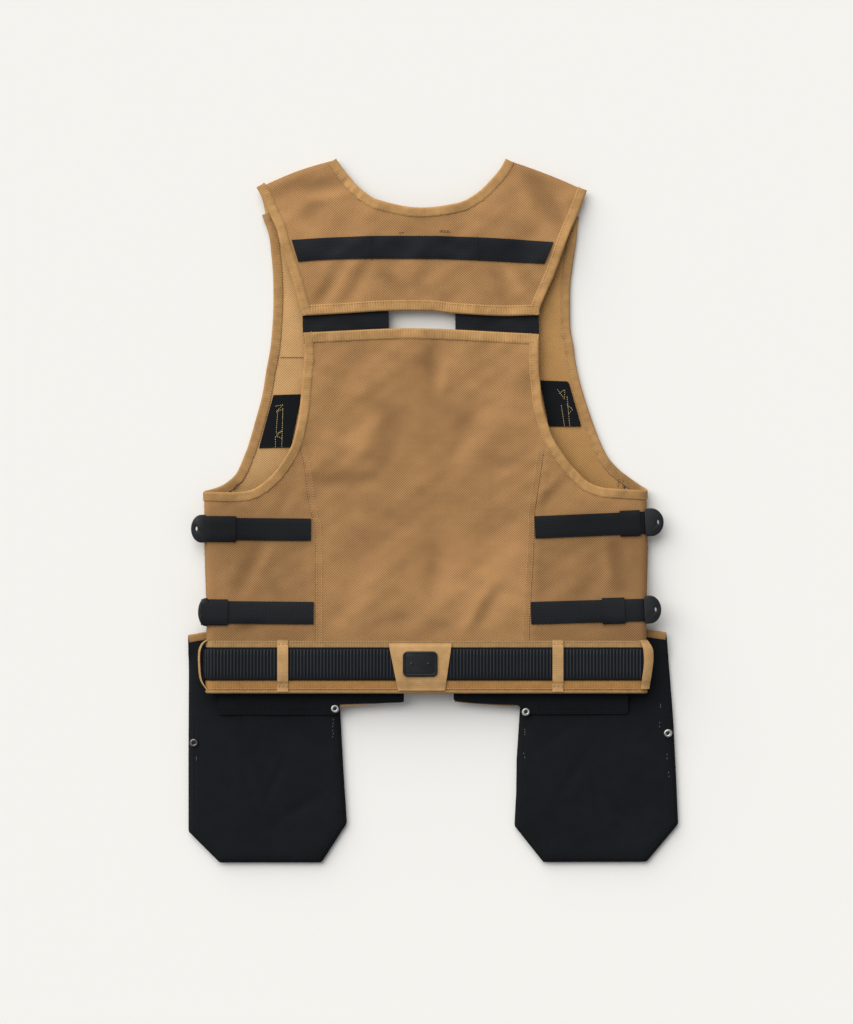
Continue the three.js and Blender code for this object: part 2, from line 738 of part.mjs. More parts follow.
// Side straps, each through its keeper to a buckle at the side fold
function fold_middle(side, y) {
  return on_fold(side, 0)(y, 0)[2];
}
for (const strap of straps) {
  const side = sides[strap.side];
  const outer_y = strap.up_outer * back_length;
  const end_x = side_fold(side, outer_y) - strap_end_inset;
  const from = point(side.sign * strap.inner * half_chest, strap.up_inner * back_length);
  const to = point(side.sign * end_x, outer_y);
  const along = to.clone().sub(from).normalize();
  const upright = point(-along.y, along.x);
  const band = (start, end, half) => [
    start.clone().addScaledVector(upright, -half),
    end.clone().addScaledVector(upright, -half),
    end.clone().addScaledVector(upright, half),
    start.clone().addScaledVector(upright, half),
  ];
  const start_x = Math.abs(from.x);
  const at = (share) => from.clone().lerp(to, (share * half_chest - start_x) / (end_x - start_x));
  const middle = fold_middle(side, outer_y);
  const half = webbing_width / 2;
  const strap_solid = sheet(wrap[side.name], strap_inner, strap_face)
    .intersect(prism(band(from, to, half), middle, sky));
  add(`side_strap_${strap.name}`, 'webbing', strap_solid);

  const tunnel = sheet(wrap[side.name], 0, strap_face + clearance)
    .intersect(prism(band(from, to.clone().addScaledVector(along, half), half + clearance)));
  const keeper = sheet(wrap[side.name], strap_inner, strap_face + clearance + keeper_cloth)
    .intersect(prism(band(at(strap.keeper), at(strap.keeper_end), half + keeper_overhang), middle, sky))
    .subtract(tunnel);
  add(`strap_keeper_${strap.name}`, 'webbing', keeper);

  const place = (out, up) => to.clone().addScaledVector(along, out).addScaledVector(upright, up);
  const bottom = middle + layer_pitch / 2 + clearance;
  add(`strap_buckle_${strap.name}`, 'plastic', buckle(strap.reach * webbing_width, place, bottom));
}

// Flat D-shaped buckle with a slot: place gives a point by its distance out from the strap's end
// and up across the strap
function buckle(reach, place, bottom) {
  const half = webbing_width / 2 + buckle_overhang;
  const straight = buckle_straight_share * reach;
  const tip = reach + strap_end_inset;
  const round = Array.from({ length: 9 }, (_, index) => {
    const angle = (index / 8 - 0.5) * Math.PI;
    return place(straight + (tip - straight) * Math.cos(angle), half * Math.sin(angle));
  });
  const shape = [place(clearance, -half), ...round, place(clearance, half)];
  const plate = prism(shape, bottom, bottom + buckle_thickness);
  const slot = Array.from({ length: 10 }, (_, index) => {
    const angle = (index / 10) * 2 * Math.PI;
    const out = tip - buckle_hole_inset + buckle_hole_radius * Math.cos(angle);
    return place(out, (buckle_hole_height / 2) * Math.sin(angle));
  });
  return plate.subtract(prism(slot));
}

// Waistband, belt and the clasp that closes it in front
const opening_at = (side, y) => side.sign * share_at(front_opening_points, side, y);
function ring(left_end, right_end) {
  const left_column = Math.floor(-left_end / column_pitch) + 1;
  const right_column = Math.floor(right_end / column_pitch) + 1;
  return [
    on_front(left_end),
    ...front_stations(-left_column, -columns_each_side),
    ...left_turn,
    ...back_stations(-columns_each_side, columns_each_side),
    ...right_turn,
    ...front_stations(columns_each_side, right_column),
    on_front(right_end),
  ];
}
const waistband_stations = ring(
  opening_at(sides.left, waistband_top),
  opening_at(sides.right, waistband_top),
);
const waistband_edges = [waistband_bottom, waistband_top];
add('waistband', 'tape', sheet(waistband_stations, waistband_inner, waistband_face, waistband_edges));

const clasp_x = (opening_at(sides.left, 0) + opening_at(sides.right, 0)) / 2;
const belt_stations = ring(clasp_x - clasp_length / 2 - clearance, clasp_x + clasp_length / 2 + clearance);
add('belt', 'belting', sheet(belt_stations, belt_inner, belt_face, [belt_bottom, belt_top]));

function rounded(width, height, corner) {
  const shape = new THREE.Shape();
  const [x, y] = [width / 2 - corner, height / 2 - corner];
  shape.absarc(x, y, corner, 0, Math.PI / 2);
  shape.absarc(-x, y, corner, Math.PI / 2, Math.PI);
  shape.absarc(-x, -y, corner, Math.PI, 1.5 * Math.PI);
  shape.absarc(x, -y, corner, 1.5 * Math.PI, 2 * Math.PI);
  return shape.getPoints(3).slice(0, -1);
}

const clasp_shape = rounded(clasp_length, belt_width + 2 * clasp_overhang, clasp_corner);
const clasp = prism(clasp_shape, -clasp_thickness / 2, clasp_thickness / 2);
const clasp_z = front_waist_height - (belt_inner + belt_face) / 2;
add('belt_clasp', 'plastic', clasp.translate(clasp_x, belt_bottom + belt_width / 2, clasp_z));

// Tape that bridges the belt and comes down on the waistband on both sides of it
const bridge_bottom = waistband_bottom - hem_binding_width / 2;
const bridge_rows = (bottom, top) => [
  bottom, belt_bottom - 2 * belt_cloth, belt_bottom - 2 * clearance,
  belt_top + 2 * clearance, belt_top + 2 * belt_cloth, top,
];
const bridge_low = (y) => {
  const beside_belt = Math.max(belt_bottom - y, y - belt_top);
  const part = (2 * belt_cloth - beside_belt) / (2 * belt_cloth - 2 * clearance);
  return lerp(belt_inner, loop_inner, THREE.MathUtils.clamp(part, 0, 1));
};
const bridge = (stations, bottom, top) => sheet(
  stations, bridge_low, (y) => bridge_low(y) + loop_cloth, bridge_rows(bottom, top),
);
for (const loop of back_loops) {
  const x = loop.across * half_chest;
  const stations = [on_back(x - loop_width / 2), on_back(x + loop_width / 2)];
  add(`belt_loop_${loop.name}`, 'tape', bridge(stations, bridge_bottom, waistband_top));
}
for (const loop of fold_loops) {
  const side = sides[loop.side];
  const angles = [loop.turn + loop_turn, loop.turn, loop.turn - loop_turn];
  const stations = (side === sides.right ? angles : angles.reverse()).map((angle) => on_fold(side, angle));
  add(`belt_loop_${loop.name}`, 'tape', bridge(stations, bridge_bottom, waistband_top));
}

// Centre patch over the belt with a plain badge on it
const patch_top = belt_top + centre_patch_above_belt;
const patch_bottom = belt_bottom - centre_patch_below_belt;
const patch_shape = [
  point(-centre_patch.bottom.left * half_chest, patch_bottom),
  point(centre_patch.bottom.right * half_chest, patch_bottom),
  point(centre_patch.top.right * half_chest, patch_top),
  point(-centre_patch.top.left * half_chest, patch_top),
];
const patch_stations = [-2, 2].map((index) => on_back(column(index)));
const patch_band = bridge(patch_stations, patch_bottom, patch_top);
add('centre_patch', 'tape', patch_band.intersect(prism(patch_shape)));

const badge_x = (centre_patch.top.right - centre_patch.top.left) * half_chest / 2;
const badge_z = back_height(badge_x, belt_bottom) + loop_face + clearance;
const badge_top = badge_thickness + badge_rim_height;
const badge_shape = rounded(badge_width, badge_height, badge_corner);
const badge_field = rounded(
  badge_width - 2 * badge_rim,
  badge_height - 2 * badge_rim,
  badge_corner - badge_rim,
);
const framed = prism(badge_shape, 0, badge_top).subtract(prism(badge_field, badge_thickness, sky));
const badge = both.reduce((body, side) => {
  const pin = new THREE.CylinderGeometry(badge_pin_radius, badge_pin_radius, badge_top, 8);
  pin.rotateX(Math.PI / 2);
  pin.translate(side.sign * badge_width / 4, 0, badge_top / 2);
  return body.add(solid(pin));
}, framed);
add('badge', 'plastic', badge.translate(badge_x, belt_bottom + belt_width / 2, badge_z));

// Holsters: open-topped pouches with a taped mouth
const holster_line = (side, edge_name, inset = 0) => {
  const middle = holster_middle[side.name] * half_chest;
  const outwards = edge_name === 'outer' ? side.sign : -side.sign;
  return holster_sections.map((section) => point(
    middle + outwards * (section[side.name][edge_name] * holster_width - inset),
    holster_top_above_hem - section.down * holster_length,
  ));
};
for (const side of both) {
  const pouch_outline = outline(holster_line(side, 'outer'), holster_line(side, 'inner').reverse());
  const geometry = new THREE.ExtrudeGeometry(new THREE.Shape(grown(pouch_outline, -holster_edge_radius)), {
    depth: holster_depth - 2 * holster_edge_radius,
    bevelThickness: holster_edge_radius,
    bevelSize: holster_edge_radius,
    bevelSegments: 2,
  });
  geometry.translate(0, 0, holster_edge_radius);
  const mouth = holster_top_above_hem;
  const cavity_outline = grown(pouch_outline, -holster_wall).map((corner) => (
    corner.y > mouth - 2 * holster_wall ? point(corner.x, mouth + belt_width) : corner
  ));
  const cavity = prism(cavity_outline, holster_wall, holster_depth - holster_wall);
  add(`holster_${side.name}`, 'black_canvas', solid(geometry).subtract(cavity));

  const [outer, inner] = ['outer', 'inner'].map((edge_name) => holster_line(side, edge_name)[0].x);
  const [low_x, high_x] = [Math.min(outer, inner), Math.max(outer, inner)];
  const inset = 2 * holster_wall;
  const lip_top = holster_depth + clearance + holster_binding_cloth;
  const lip_bottom = holster_depth - holster_wall - clearance - holster_binding_cloth;
  const lip_end = mouth + clearance + holster_binding_cloth;
  const lip_start = mouth - holster_binding_width;
  const over_shape = block(low_x, high_x, lip_start, lip_end);
  const over_mouth = prism(over_shape, holster_depth + clearance, lip_top);
  const folded_shape = block(low_x + inset, high_x - inset, lip_start, lip_end);
  const folded = prism(folded_shape, lip_bottom, lip_top);
  const groove = prism(
    block(-2 * wide, 2 * wide, 0, mouth + clearance),
    lip_bottom + holster_binding_cloth,
    holster_depth + clearance,
  );
  add(`holster_binding_${side.name}`, 'tape', folded.subtract(groove).add(over_mouth));
}

// Rivets with domed heads
const rivet_profile = [
  point(0, 0), point(rivet_radius, 0), point(rivet_radius, rivet_rim),
  point(rivet_dome_share * rivet_radius, rivet_height), point(0, rivet_height),
];
const hem_slope = (front_waist_height - front_hem_height) / row_pitch;
for (const rivet of rivets) {
  const side = sides[rivet.side];
  const y = holster_top_above_hem - rivet.down * holster_length;
  const edge_line = holster_line(side, rivet.edge, rivet.inset * holster_width);
  const lower = edge_line.findIndex((corner) => corner.y < y);
  const part = (edge_line[lower - 1].y - y) / (edge_line[lower - 1].y - edge_line[lower].y);
  const x = edge_line[lower - 1].clone().lerp(edge_line[lower], part).x;
  const geometry = new THREE.LatheGeometry(rivet_profile, 12);
  geometry.rotateX(Math.PI / 2);
  const on_facing = rivet.edge === 'inner';
  if (on_facing) geometry.rotateX(Math.atan(hem_slope));
  const facing_z = front_hem_height + hem_slope * (y + row_pitch) + facing_face;
  geometry.translate(x, y, (on_facing ? facing_z : holster_depth) + clearance);
  add(rivet.name, 'steel', solid(geometry));
}

// The origin is the middle of the whole vest, on the floor
const box = new THREE.Box3().setFromObject(vest);
vest.position.set(-(box.min.x + box.max.x) / 2, -(box.min.y + box.max.y) / 2, -box.min.z);

export default vest;
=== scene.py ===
"""Utility work vest, lying front down with its back up, dressed over its CAD frame. Metres, +Z up."""

import math

import bmesh
import bpy
import numpy as np
from bpy.props import FloatProperty, FloatVectorProperty, PointerProperty
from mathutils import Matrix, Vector
from mathutils.geometry import delaunay_2d_cdt


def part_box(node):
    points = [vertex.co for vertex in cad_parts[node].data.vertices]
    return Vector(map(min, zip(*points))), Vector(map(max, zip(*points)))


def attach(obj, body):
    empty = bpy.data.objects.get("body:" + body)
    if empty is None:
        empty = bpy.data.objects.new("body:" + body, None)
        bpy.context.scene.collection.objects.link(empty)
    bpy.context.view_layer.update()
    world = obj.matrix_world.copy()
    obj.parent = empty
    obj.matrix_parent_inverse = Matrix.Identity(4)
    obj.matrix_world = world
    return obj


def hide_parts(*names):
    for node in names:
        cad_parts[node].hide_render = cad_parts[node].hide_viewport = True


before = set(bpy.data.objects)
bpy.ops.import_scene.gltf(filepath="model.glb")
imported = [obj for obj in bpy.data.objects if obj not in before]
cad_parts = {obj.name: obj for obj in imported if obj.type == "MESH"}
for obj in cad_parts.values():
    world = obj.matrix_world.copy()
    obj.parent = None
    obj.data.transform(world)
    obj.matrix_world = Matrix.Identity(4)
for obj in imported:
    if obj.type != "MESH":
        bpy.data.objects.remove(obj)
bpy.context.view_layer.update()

bl_info = {
    "name": "Utility work vest",
    "version": (1, 0, 0),
    "blender": (4, 5, 0),
    "location": "View3D > Sidebar > Vest",
    "description": "Builds a canvas work vest with belt and holsters, lying on its front",
    "category": "Object",
}

# The pattern is measured from the centre back at the hem, in units of 1.3 mm
UNIT = 0.0013
CENTRE_BACK = (-0.01351, -0.23623)

# Sizes that the CAD part gives
HALF_CHEST = 0.287
BACK_LENGTH = 0.632
HOLLOW = 0.014
PANEL = 0.002
HOLSTER_DEPTH = 0.012
CLEARANCE = 0.0003
LAYER_PITCH = HOLLOW + PANEL
SHOULDER_PITCH = 0.0053
WAIST_FRONT = 0.0171
HEM_FRONT = 0.0133
ROW_PITCH = BACK_LENGTH / 16
WAIST_TOP = 2 * ROW_PITCH
BELT_BOTTOM, BELT_TOP = 0.017, 0.060
WAISTBAND_BOTTOM, WAISTBAND_TOP = 0.0048, 0.0685
WEBBING = 0.029

# Layers out from the middle of the panel cloth
TAPE_IN, TAPE_OUT = 0.0011, 0.0025
STRAP_IN, STRAP_OUT = 0.0013, 0.0029
KEEPER_IN, KEEPER_OUT = 0.0032, 0.0045
BELT_IN, BELT_OUT = 0.0028, 0.0044
LOOP_IN, LOOP_OUT = 0.0054, 0.0066

# Shares of the sizes above: up, left, right
SHOULDER_SHARES = ((1.101, 0.395, 0.375), (1.039, 0.755, 0.743))
SIDE_FOLD_SHARES = (
    (1.2, 0.99, 1.01), (0.42, 0.99, 1.01), (0.3, 0.99, 1.018), (0.16, 0.977, 1.008), (-0.1, 0.977, 1.008),
)
FRONT_ARMHOLE_SHARES = (
    (1.039, 0.755, 0.743), (0.986, 0.73, 0.712), (0.922, 0.692, 0.695), (0.815, 0.679, 0.667),
    (0.712, 0.692, 0.684), (0.613, 0.73, 0.731), (0.514, 0.79, 0.807), (0.455, 0.843, 0.9),
    (0.428, 0.915, 0.972), (0.416, 0.99, 1.01),
)

# Edges of the pattern, left and right, from the top down
SHOULDER = {
    "left": ((-87.2, 535.2), (-106, 530.4), (-126.3, 523.8), (-147, 515.2), (-166.8, 506)),
    "right": ((82.8, 535.2), (104, 528.4), (127, 519.7), (146, 511.6), (164.2, 503)),
}
NECK = (
    (-87.2, 535.2), (-80, 525), (-73, 516.3), (-65, 507), (-51.3, 496.3), (-43, 493), (-26.3, 488.8),
    (-10, 486), (7, 486), (27, 488.8), (42, 493), (57, 503), (67, 513), (77, 524.7), (82.8, 535.2),
)
YOKE_ARMHOLE = {
    "left": (
        (-166.8, 506), (-159.7, 493), (-153, 478), (-146.3, 463), (-143, 449.7), (-136.3, 429.7),
        (-129.7, 409.7), (-122.2, 383), (-120.5, 377.2),
    ),
    "right": (
        (164.2, 503), (155.3, 479.7), (147.8, 463), (140.3, 443), (132, 419.7), (120.3, 393),
        (116.7, 383), (116, 378),
    ),
}
SLOT_TOP = ((-120.5, 377.2), (-76.3, 379.7), (-35.5, 382.2), (7, 382.2), (30.3, 379.7), (77, 377.2), (116, 378))
SLOT_BOTTOM = ((-119.7, 360.5), (-31.3, 364.7), (7, 364.7), (28.7, 363.8), (77, 361.3), (115.7, 359.2))
BACK_ARMHOLE = {
    "left": (
        (-119.7, 360.5), (-119.3, 351), (-118.8, 333), (-120.5, 320), (-122.2, 298), (-123.8, 281.3),
        (-128, 259.7), (-132.2, 246.3), (-139.7, 233), (-149.7, 219.7), (-163, 208), (-173, 203),
        (-186.3, 201), (-203, 201), (-218.5, 201.7),
    ),
    "right": (
        (115.7, 359.2), (115.7, 353), (115.9, 335), (116.2, 319.7), (117.3, 311.3), (119.5, 289.7),
        (125.3, 268), (130.3, 254.7), (138.7, 241.3), (147, 229.7), (157, 218.8), (165.3, 211.3),
        (177, 206.3), (188.7, 204.7), (207, 203.5), (222.6, 202.6),
    ),
}
FRONT_ARMHOLE = {
    "left": (
        (-166.8, 506), (-161.8, 480), (-154.7, 459.7), (-152.2, 439.7), (-150.5, 419.7), (-150, 396.3),
        (-150.5, 376.3), (-153, 346.3), (-157.2, 323), (-161.3, 298), (-168, 273), (-174.7, 249.7),
        (-179.7, 236.3), (-186.3, 221.3), (-193, 213.8), (-203, 207), (-218.5, 202),
    ),
    "right": (
        (164.2, 503), (156.2, 475.5), (153.7, 453), (150.3, 429.7), (147.8, 409.7), (147.5, 393),
        (147.8, 366.3), (151.2, 346.3), (152.8, 333), (157, 313), (162.8, 293), (169.5, 273),
        (177.8, 251.3), (185.3, 236.3), (195.3, 224.7), (207, 215.5), (222.6, 204.5),
    ),
}
PRINCESS_SEAM = {
    "left": (
        (-124.4, 251), (-121.6, 240), (-118.8, 226.3), (-114.7, 193), (-110.2, 173), (-108, 163),
        (-107.2, 110), (-107, 53), (-107, 2),
    ),
    "right": (
        (125.4, 256), (121.6, 244.7), (117.8, 220), (113.7, 193), (112, 179.7), (110.8, 143),
        (107.7, 92.2), (105.9, 52.6), (105, 2),
    ),
}
FRONT_OPENING = {
    "left": ((-87.2, 535.2), (-59.7, 461.7), (-38, 379), (-30.9, 194), (-19, 0)),
    "right": ((82.8, 535.2), (57.5, 461.7), (35.4, 379), (33.6, 194), (30.5, 0)),
}

# Straps: side, inner end, start and end of the keeper, then the level of both ends
STRAPS = {
    "upper_left": ("left", 112.2, 187.2, 218, 163.3, 164.3),
    "lower_left": ("left", 109.2, 194.7, 219, 80.2, 81.2),
    "upper_right": ("right", 111.8, 197, 217, 165.7, 170.6),
    "lower_right": ("right", 107.6, 178.8, 201.3, 80.2, 83.6),
}
BUCKLE_REACH = {"upper_left": 0.0168, "lower_left": 0.0104, "upper_right": 0.0209, "lower_right": 0.0186}

# Holster outlines from the outer top corner round to the inner one
HOLSTERS = {
    "left": (
        (-235.4, 56.8), (-234.8, 20), (-235, -20), (-235.2, -60), (-235.2, -139.3), (-204, -170.4),
        (-101.8, -170.4), (-76.4, -131), (-80, -75), (-83, -19.9), (-86, 20), (-88, 57.7),
        (-216, 60.2),
    ),
    "right": (
        (243.8, 59.5), (247.2, 20.2), (250.8, -26.5), (253.5, -79), (255.8, -131.8), (224, -169.7),
        (120.6, -170), (91.6, -133.5), (93.4, -100), (93.8, -67), (97.4, -12.4), (99, 20), (101, 57.7),
        (224, 62.5),
    ),
}

# Folds of the cloth: place, half length and half width in metres, turn in degrees, height
BROAD_FOLDS = (
    (-0.135, 0.660, 0.101, 0.051, 8, -0.0031), (0.161, 0.632, 0.126, 0.057, 105, -0.0034),
    (-0.103, 0.534, 0.107, 0.044, 150, 0.0020), (0.115, 0.525, 0.088, 0.044, 120, -0.0020),
    (0.014, 0.417, 0.101, 0.057, 88, -0.0034), (-0.086, 0.291, 0.152, 0.057, 20, -0.0031),
    (0.017, 0.145, 0.088, 0.057, 86, -0.0028), (-0.218, 0.158, 0.088, 0.057, 60, -0.0034),
    (0.253, 0.171, 0.095, 0.051, 100, -0.0034), (0.092, 0.120, 0.101, 0.051, 60, 0.0025),
)
FINE_FOLDS = (
    (-0.135, 0.660, 0.040, 0.0075, 5, -0.0017), (-0.120, 0.646, 0.034, 0.006, 12, 0.0008),
    (0.157, 0.643, 0.040, 0.0085, 116, -0.0024), (0.176, 0.620, 0.028, 0.0060, 112, -0.0010),
    (0.136, 0.640, 0.034, 0.0085, 116, 0.0009), (-0.123, 0.529, 0.028, 0.0060, 60, -0.0013),
    (-0.102, 0.533, 0.030, 0.0065, 60, 0.0011), (-0.083, 0.536, 0.028, 0.0055, 62, -0.0008),
    (-0.040, 0.533, 0.026, 0.0060, 124, -0.0010), (-0.140, 0.622, 0.020, 0.0100, 100, -0.0009),
    (0.104, 0.524, 0.026, 0.006, 115, -0.0011), (0.138, 0.540, 0.026, 0.006, 118, -0.0010),
    (0.121, 0.532, 0.024, 0.005, 117, 0.0008), (0.012, 0.415, 0.042, 0.008, 86, -0.0015),
    (0.026, 0.405, 0.038, 0.006, 90, 0.0006), (-0.100, 0.275, 0.044, 0.0070, 4, -0.0014),
    (-0.047, 0.302, 0.026, 0.0070, 60, -0.0011), (-0.073, 0.325, 0.034, 0.0120, 58, 0.0010),
    (-0.038, 0.355, 0.030, 0.0085, 126, -0.0009), (0.039, 0.360, 0.034, 0.0080, 145, -0.0010),
    (0.104, 0.295, 0.022, 0.0065, 10, -0.0008), (0.015, 0.160, 0.030, 0.008, 84, -0.0013),
    (0.079, 0.100, 0.040, 0.007, 58, -0.0012), (0.068, 0.106, 0.036, 0.006, 60, 0.0008),
    (-0.226, 0.160, 0.040, 0.008, 66, -0.0016), (-0.212, 0.162, 0.034, 0.006, 62, 0.0009),
    (-0.228, 0.086, 0.030, 0.008, 20, -0.0018), (0.254, 0.170, 0.038, 0.008, 100, -0.0016),
    (0.240, 0.168, 0.034, 0.006, 97, 0.0009), (0.171, 0.262, 0.034, 0.0065, 48, -0.0008),
    (0.158, 0.260, 0.030, 0.005, 50, 0.0006), (-0.180, 0.250, 0.034, 0.0065, 60, -0.0010),
    (-0.036, 0.090, 0.040, 0.007, 20, -0.0008), (0.050, 0.330, 0.050, 0.009, 70, -0.0008),
    (-0.060, 0.380, 0.050, 0.009, 110, -0.0007), (0.006, 0.560, 0.040, 0.008, 80, -0.0007),
    (-0.180, 0.120, 0.030, 0.006, 130, -0.0009), (0.200, 0.120, 0.032, 0.006, 40, -0.0009),
    (0.232, 0.092, 0.030, 0.0065, 165, -0.0010), (-0.060, 0.235, 0.050, 0.010, 160, -0.0008),
    (0.090, 0.215, 0.045, 0.009, 30, -0.0008),
)


def flat(points):
    """Pattern units to metres from the centre back at the hem."""
    return np.array(points, float) * UNIT


def smoothstep(value, low, high):
    part = np.clip((np.asarray(value, float) - low) / (high - low), 0, 1)
    return part * part * (3 - 2 * part)


def blend(a, b, part):
    return a + (b - a) * part


def share_at(shares, x, y):
    """How far out an edge lies at the height y, on the side that x is on."""
    rows = shares[::-1]
    ups = [row[0] for row in rows]
    up = np.asarray(y, float) / BACK_LENGTH
    left = np.interp(up, ups, [row[1] for row in rows])
    right = np.interp(up, ups, [row[2] for row in rows])
    return np.where(np.asarray(x) < 0, left, right) * HALF_CHEST


def shoulder_drop(x, y):
    """How far a point lies below the shoulder line, as a share of the back's length."""
    neck, tip = SHOULDER_SHARES
    out = np.abs(x) / HALF_CHEST
    left = (out - neck[1]) / (tip[1] - neck[1])
    right = (out - neck[2]) / (tip[2] - neck[2])
    return blend(neck[0], tip[0], np.where(np.asarray(x) < 0, left, right)) - np.asarray(y) / BACK_LENGTH


def front_height(x, y):
    up = np.asarray(y, float) / BACK_LENGTH
    inside = (share_at(FRONT_ARMHOLE_SHARES, x, y) - np.abs(x)) / HALF_CHEST
    curl = 0.0034 * smoothstep(up, 0.33, 0.42) * (1 - smoothstep(inside, 0.05, 0.3))
    lift = 0.002 * smoothstep(up, 0.85, 1.05)
    waist = blend(WAIST_FRONT, HEM_FRONT, smoothstep(-np.asarray(y), 0, ROW_PITCH))
    return blend(waist, PANEL / 2, smoothstep(y, WAIST_TOP, 0.32 * BACK_LENGTH)) + curl + lift


def folded(x, y, folds, spread=1.0):
    total = np.zeros(np.broadcast(x, y).shape)
    for across, up, run, wide, turn, height in folds:
        c, s = math.cos(math.radians(turn)), math.sin(math.radians(turn))
        dx, dy = x - across, y - up
        total += height * np.exp(-((dx * c + dy * s) / run) ** 2 - ((dy * c - dx * s) / (spread * wide)) ** 2)
    return total


def side_fold(x, y):
    return share_at(SIDE_FOLD_SHARES, x, y)


def under_straps(x, y):
    """Where the side straps press the cloth flat."""
    level = np.minimum(np.abs(y - 0.2135), np.abs(y - 0.1060))
    return np.exp(-((level / 0.021) ** 4)) * smoothstep(np.abs(x), 0.115, 0.14)


def crumple(x, y):
    """The small unevenness of worn cloth."""
    waves = np.random.default_rng(5)
    total = 0
    for _ in range(14):
        turn, length, phase = waves.uniform(0, math.pi), waves.uniform(0.02, 0.085), waves.uniform(0, math.tau)
        total = total + np.sin((x * math.cos(turn) + y * math.sin(turn)) * math.tau / length + phase) * length / 0.03
    return total * 0.00016


def back_height(x, y, fine=1.0):
    drop = shoulder_drop(x, y)
    inside = side_fold(x, y) - np.abs(x)
    broad = folded(x, y, BROAD_FOLDS) * smoothstep(y, WAIST_TOP, WAIST_TOP + 2 * ROW_PITCH)
    broad = broad * smoothstep(drop, 0, 0.1) * smoothstep(inside, LAYER_PITCH / 2, 0.2 * HALF_CHEST)
    shallow = (2.7 * folded(x, y, FINE_FOLDS, 1.4) + 1.2 * crumple(x, y)) * smoothstep(y, WAISTBAND_TOP, WAISTBAND_TOP + 0.03)
    shallow = shallow * (1 - 0.9 * under_straps(x, y))
    shallow = fine * shallow * smoothstep(drop, 0, 0.04) * smoothstep(inside, LAYER_PITCH / 2, 0.03)
    pitch = blend(SHOULDER_PITCH, LAYER_PITCH, smoothstep(drop, 0, 0.14))
    room = 0.8 * (pitch - 0.0026)
    folds = broad + shallow
    return front_height(x, y) + pitch + np.where(folds < 0, room * np.tanh(folds / room), folds)


# The canvas finish paints shade in the creases from this depth.
def hollow(x, y):
    """How deep the cloth lies in a fold: below 0 on a ridge, above 0 in a crease."""
    depth = 0.35 * folded(x, y, BROAD_FOLDS) / 0.0034 + folded(x, y, FINE_FOLDS, 1.4) / 0.0015
    return np.clip(-depth, -0.6, 1.6)


def place(s, y, out=0.0, fine=1.0):
    """Points at a distance s round from the centre back, and out from the middle of the cloth."""
    s, y, out = np.broadcast_arrays(np.asarray(s, float), np.asarray(y, float), np.asarray(out, float))
    side, along = np.where(s < 0, -1.0, 1.0), np.abs(s)
    half = LAYER_PITCH / 2
    middle = side_fold(side, y) - half
    past = along - middle - math.pi * half
    on_back = np.minimum(along, middle)
    on_front = np.clip(middle - np.maximum(past, 0), 0, None)
    above = back_height(side * on_back, y, fine)
    below = front_height(side * on_front, y)
    turn = np.clip((along - middle) / half, 0, math.pi)
    level = (back_height(side * middle, y, fine) + front_height(side * middle, y)) / 2
    reach = (back_height(side * middle, y, fine) - front_height(side * middle, y)) / 2 + out
    x = np.where(along <= middle, on_back, np.where(past >= 0, on_front, middle + reach * np.sin(turn)))
    z = np.where(along <= middle, above + out, np.where(past >= 0, below - out, level + reach * np.cos(turn)))
    return np.stack([side * x + CENTRE_BACK[0], y + CENTRE_BACK[1], z], -1)


def laid(x, y, z):
    """Points given by their place on the floor plan and their height."""
    x, y, z = np.broadcast_arrays(np.asarray(x, float), np.asarray(y, float), np.asarray(z, float))
    return np.stack([x + CENTRE_BACK[0], y + CENTRE_BACK[1], z], -1)


def round_back(x, y):
    """The distance round from the centre back of a point seen on the upper side."""
    half = LAYER_PITCH / 2
    middle = side_fold(x, y) - half
    turn = np.arcsin(np.clip((np.abs(x) - middle) / half, 0, 1))
    return np.sign(x) * np.where(np.abs(x) <= middle, np.abs(x), middle + half * turn)


def round_front(x, y):
    """The distance round from the centre back of a point on the fronts."""
    half = LAYER_PITCH / 2
    middle = side_fold(x, y) - half
    turn = np.arcsin(np.clip((np.abs(x) - middle) / half, 0, 1))
    over = np.where(np.abs(x) <= middle, 2 * middle + math.pi * half - np.abs(x), middle + half * (math.pi - turn))
    return np.sign(x) * over


# Lines

def spaced(line, pitch):
    """A line's points again, evenly spaced along it."""
    line = np.asarray(line, float)
    run = np.concatenate([[0], np.cumsum(np.linalg.norm(np.diff(line, axis=0), axis=1))])
    steps = max(2, int(round(run[-1] / pitch)) + 1)
    marks = np.linspace(0, run[-1], steps)
    return np.stack([np.interp(marks, run, line[:, k]) for k in range(line.shape[1])], -1)


def smooth(points, pitch=0.004):
    """A smooth line through pattern points in metres."""
    points = np.asarray(points, float)
    padded = np.vstack([2 * points[0] - points[1], points, 2 * points[-1] - points[-2]])
    fine = []
    for a, b, c, d in zip(padded, padded[1:], padded[2:], padded[3:]):
        for t in np.linspace(0, 1, 9)[:-1]:
            fine.append(0.5 * (2 * b + (c - a) * t + (2 * a - 5 * b + 4 * c - d) * t**2 + (3 * b - a - 3 * c + d) * t**3))
    fine.append(points[-1])
    return spaced(fine, pitch)


def normals(line):
    """The left-hand normal at each point of a line."""
    along = np.gradient(np.asarray(line, float), axis=0)
    along /= np.maximum(np.linalg.norm(along, axis=1, keepdims=True), 1e-12)
    return np.stack([-along[:, 1], along[:, 0]], -1)


def moved(line, distance):
    return line + normals(line) * distance


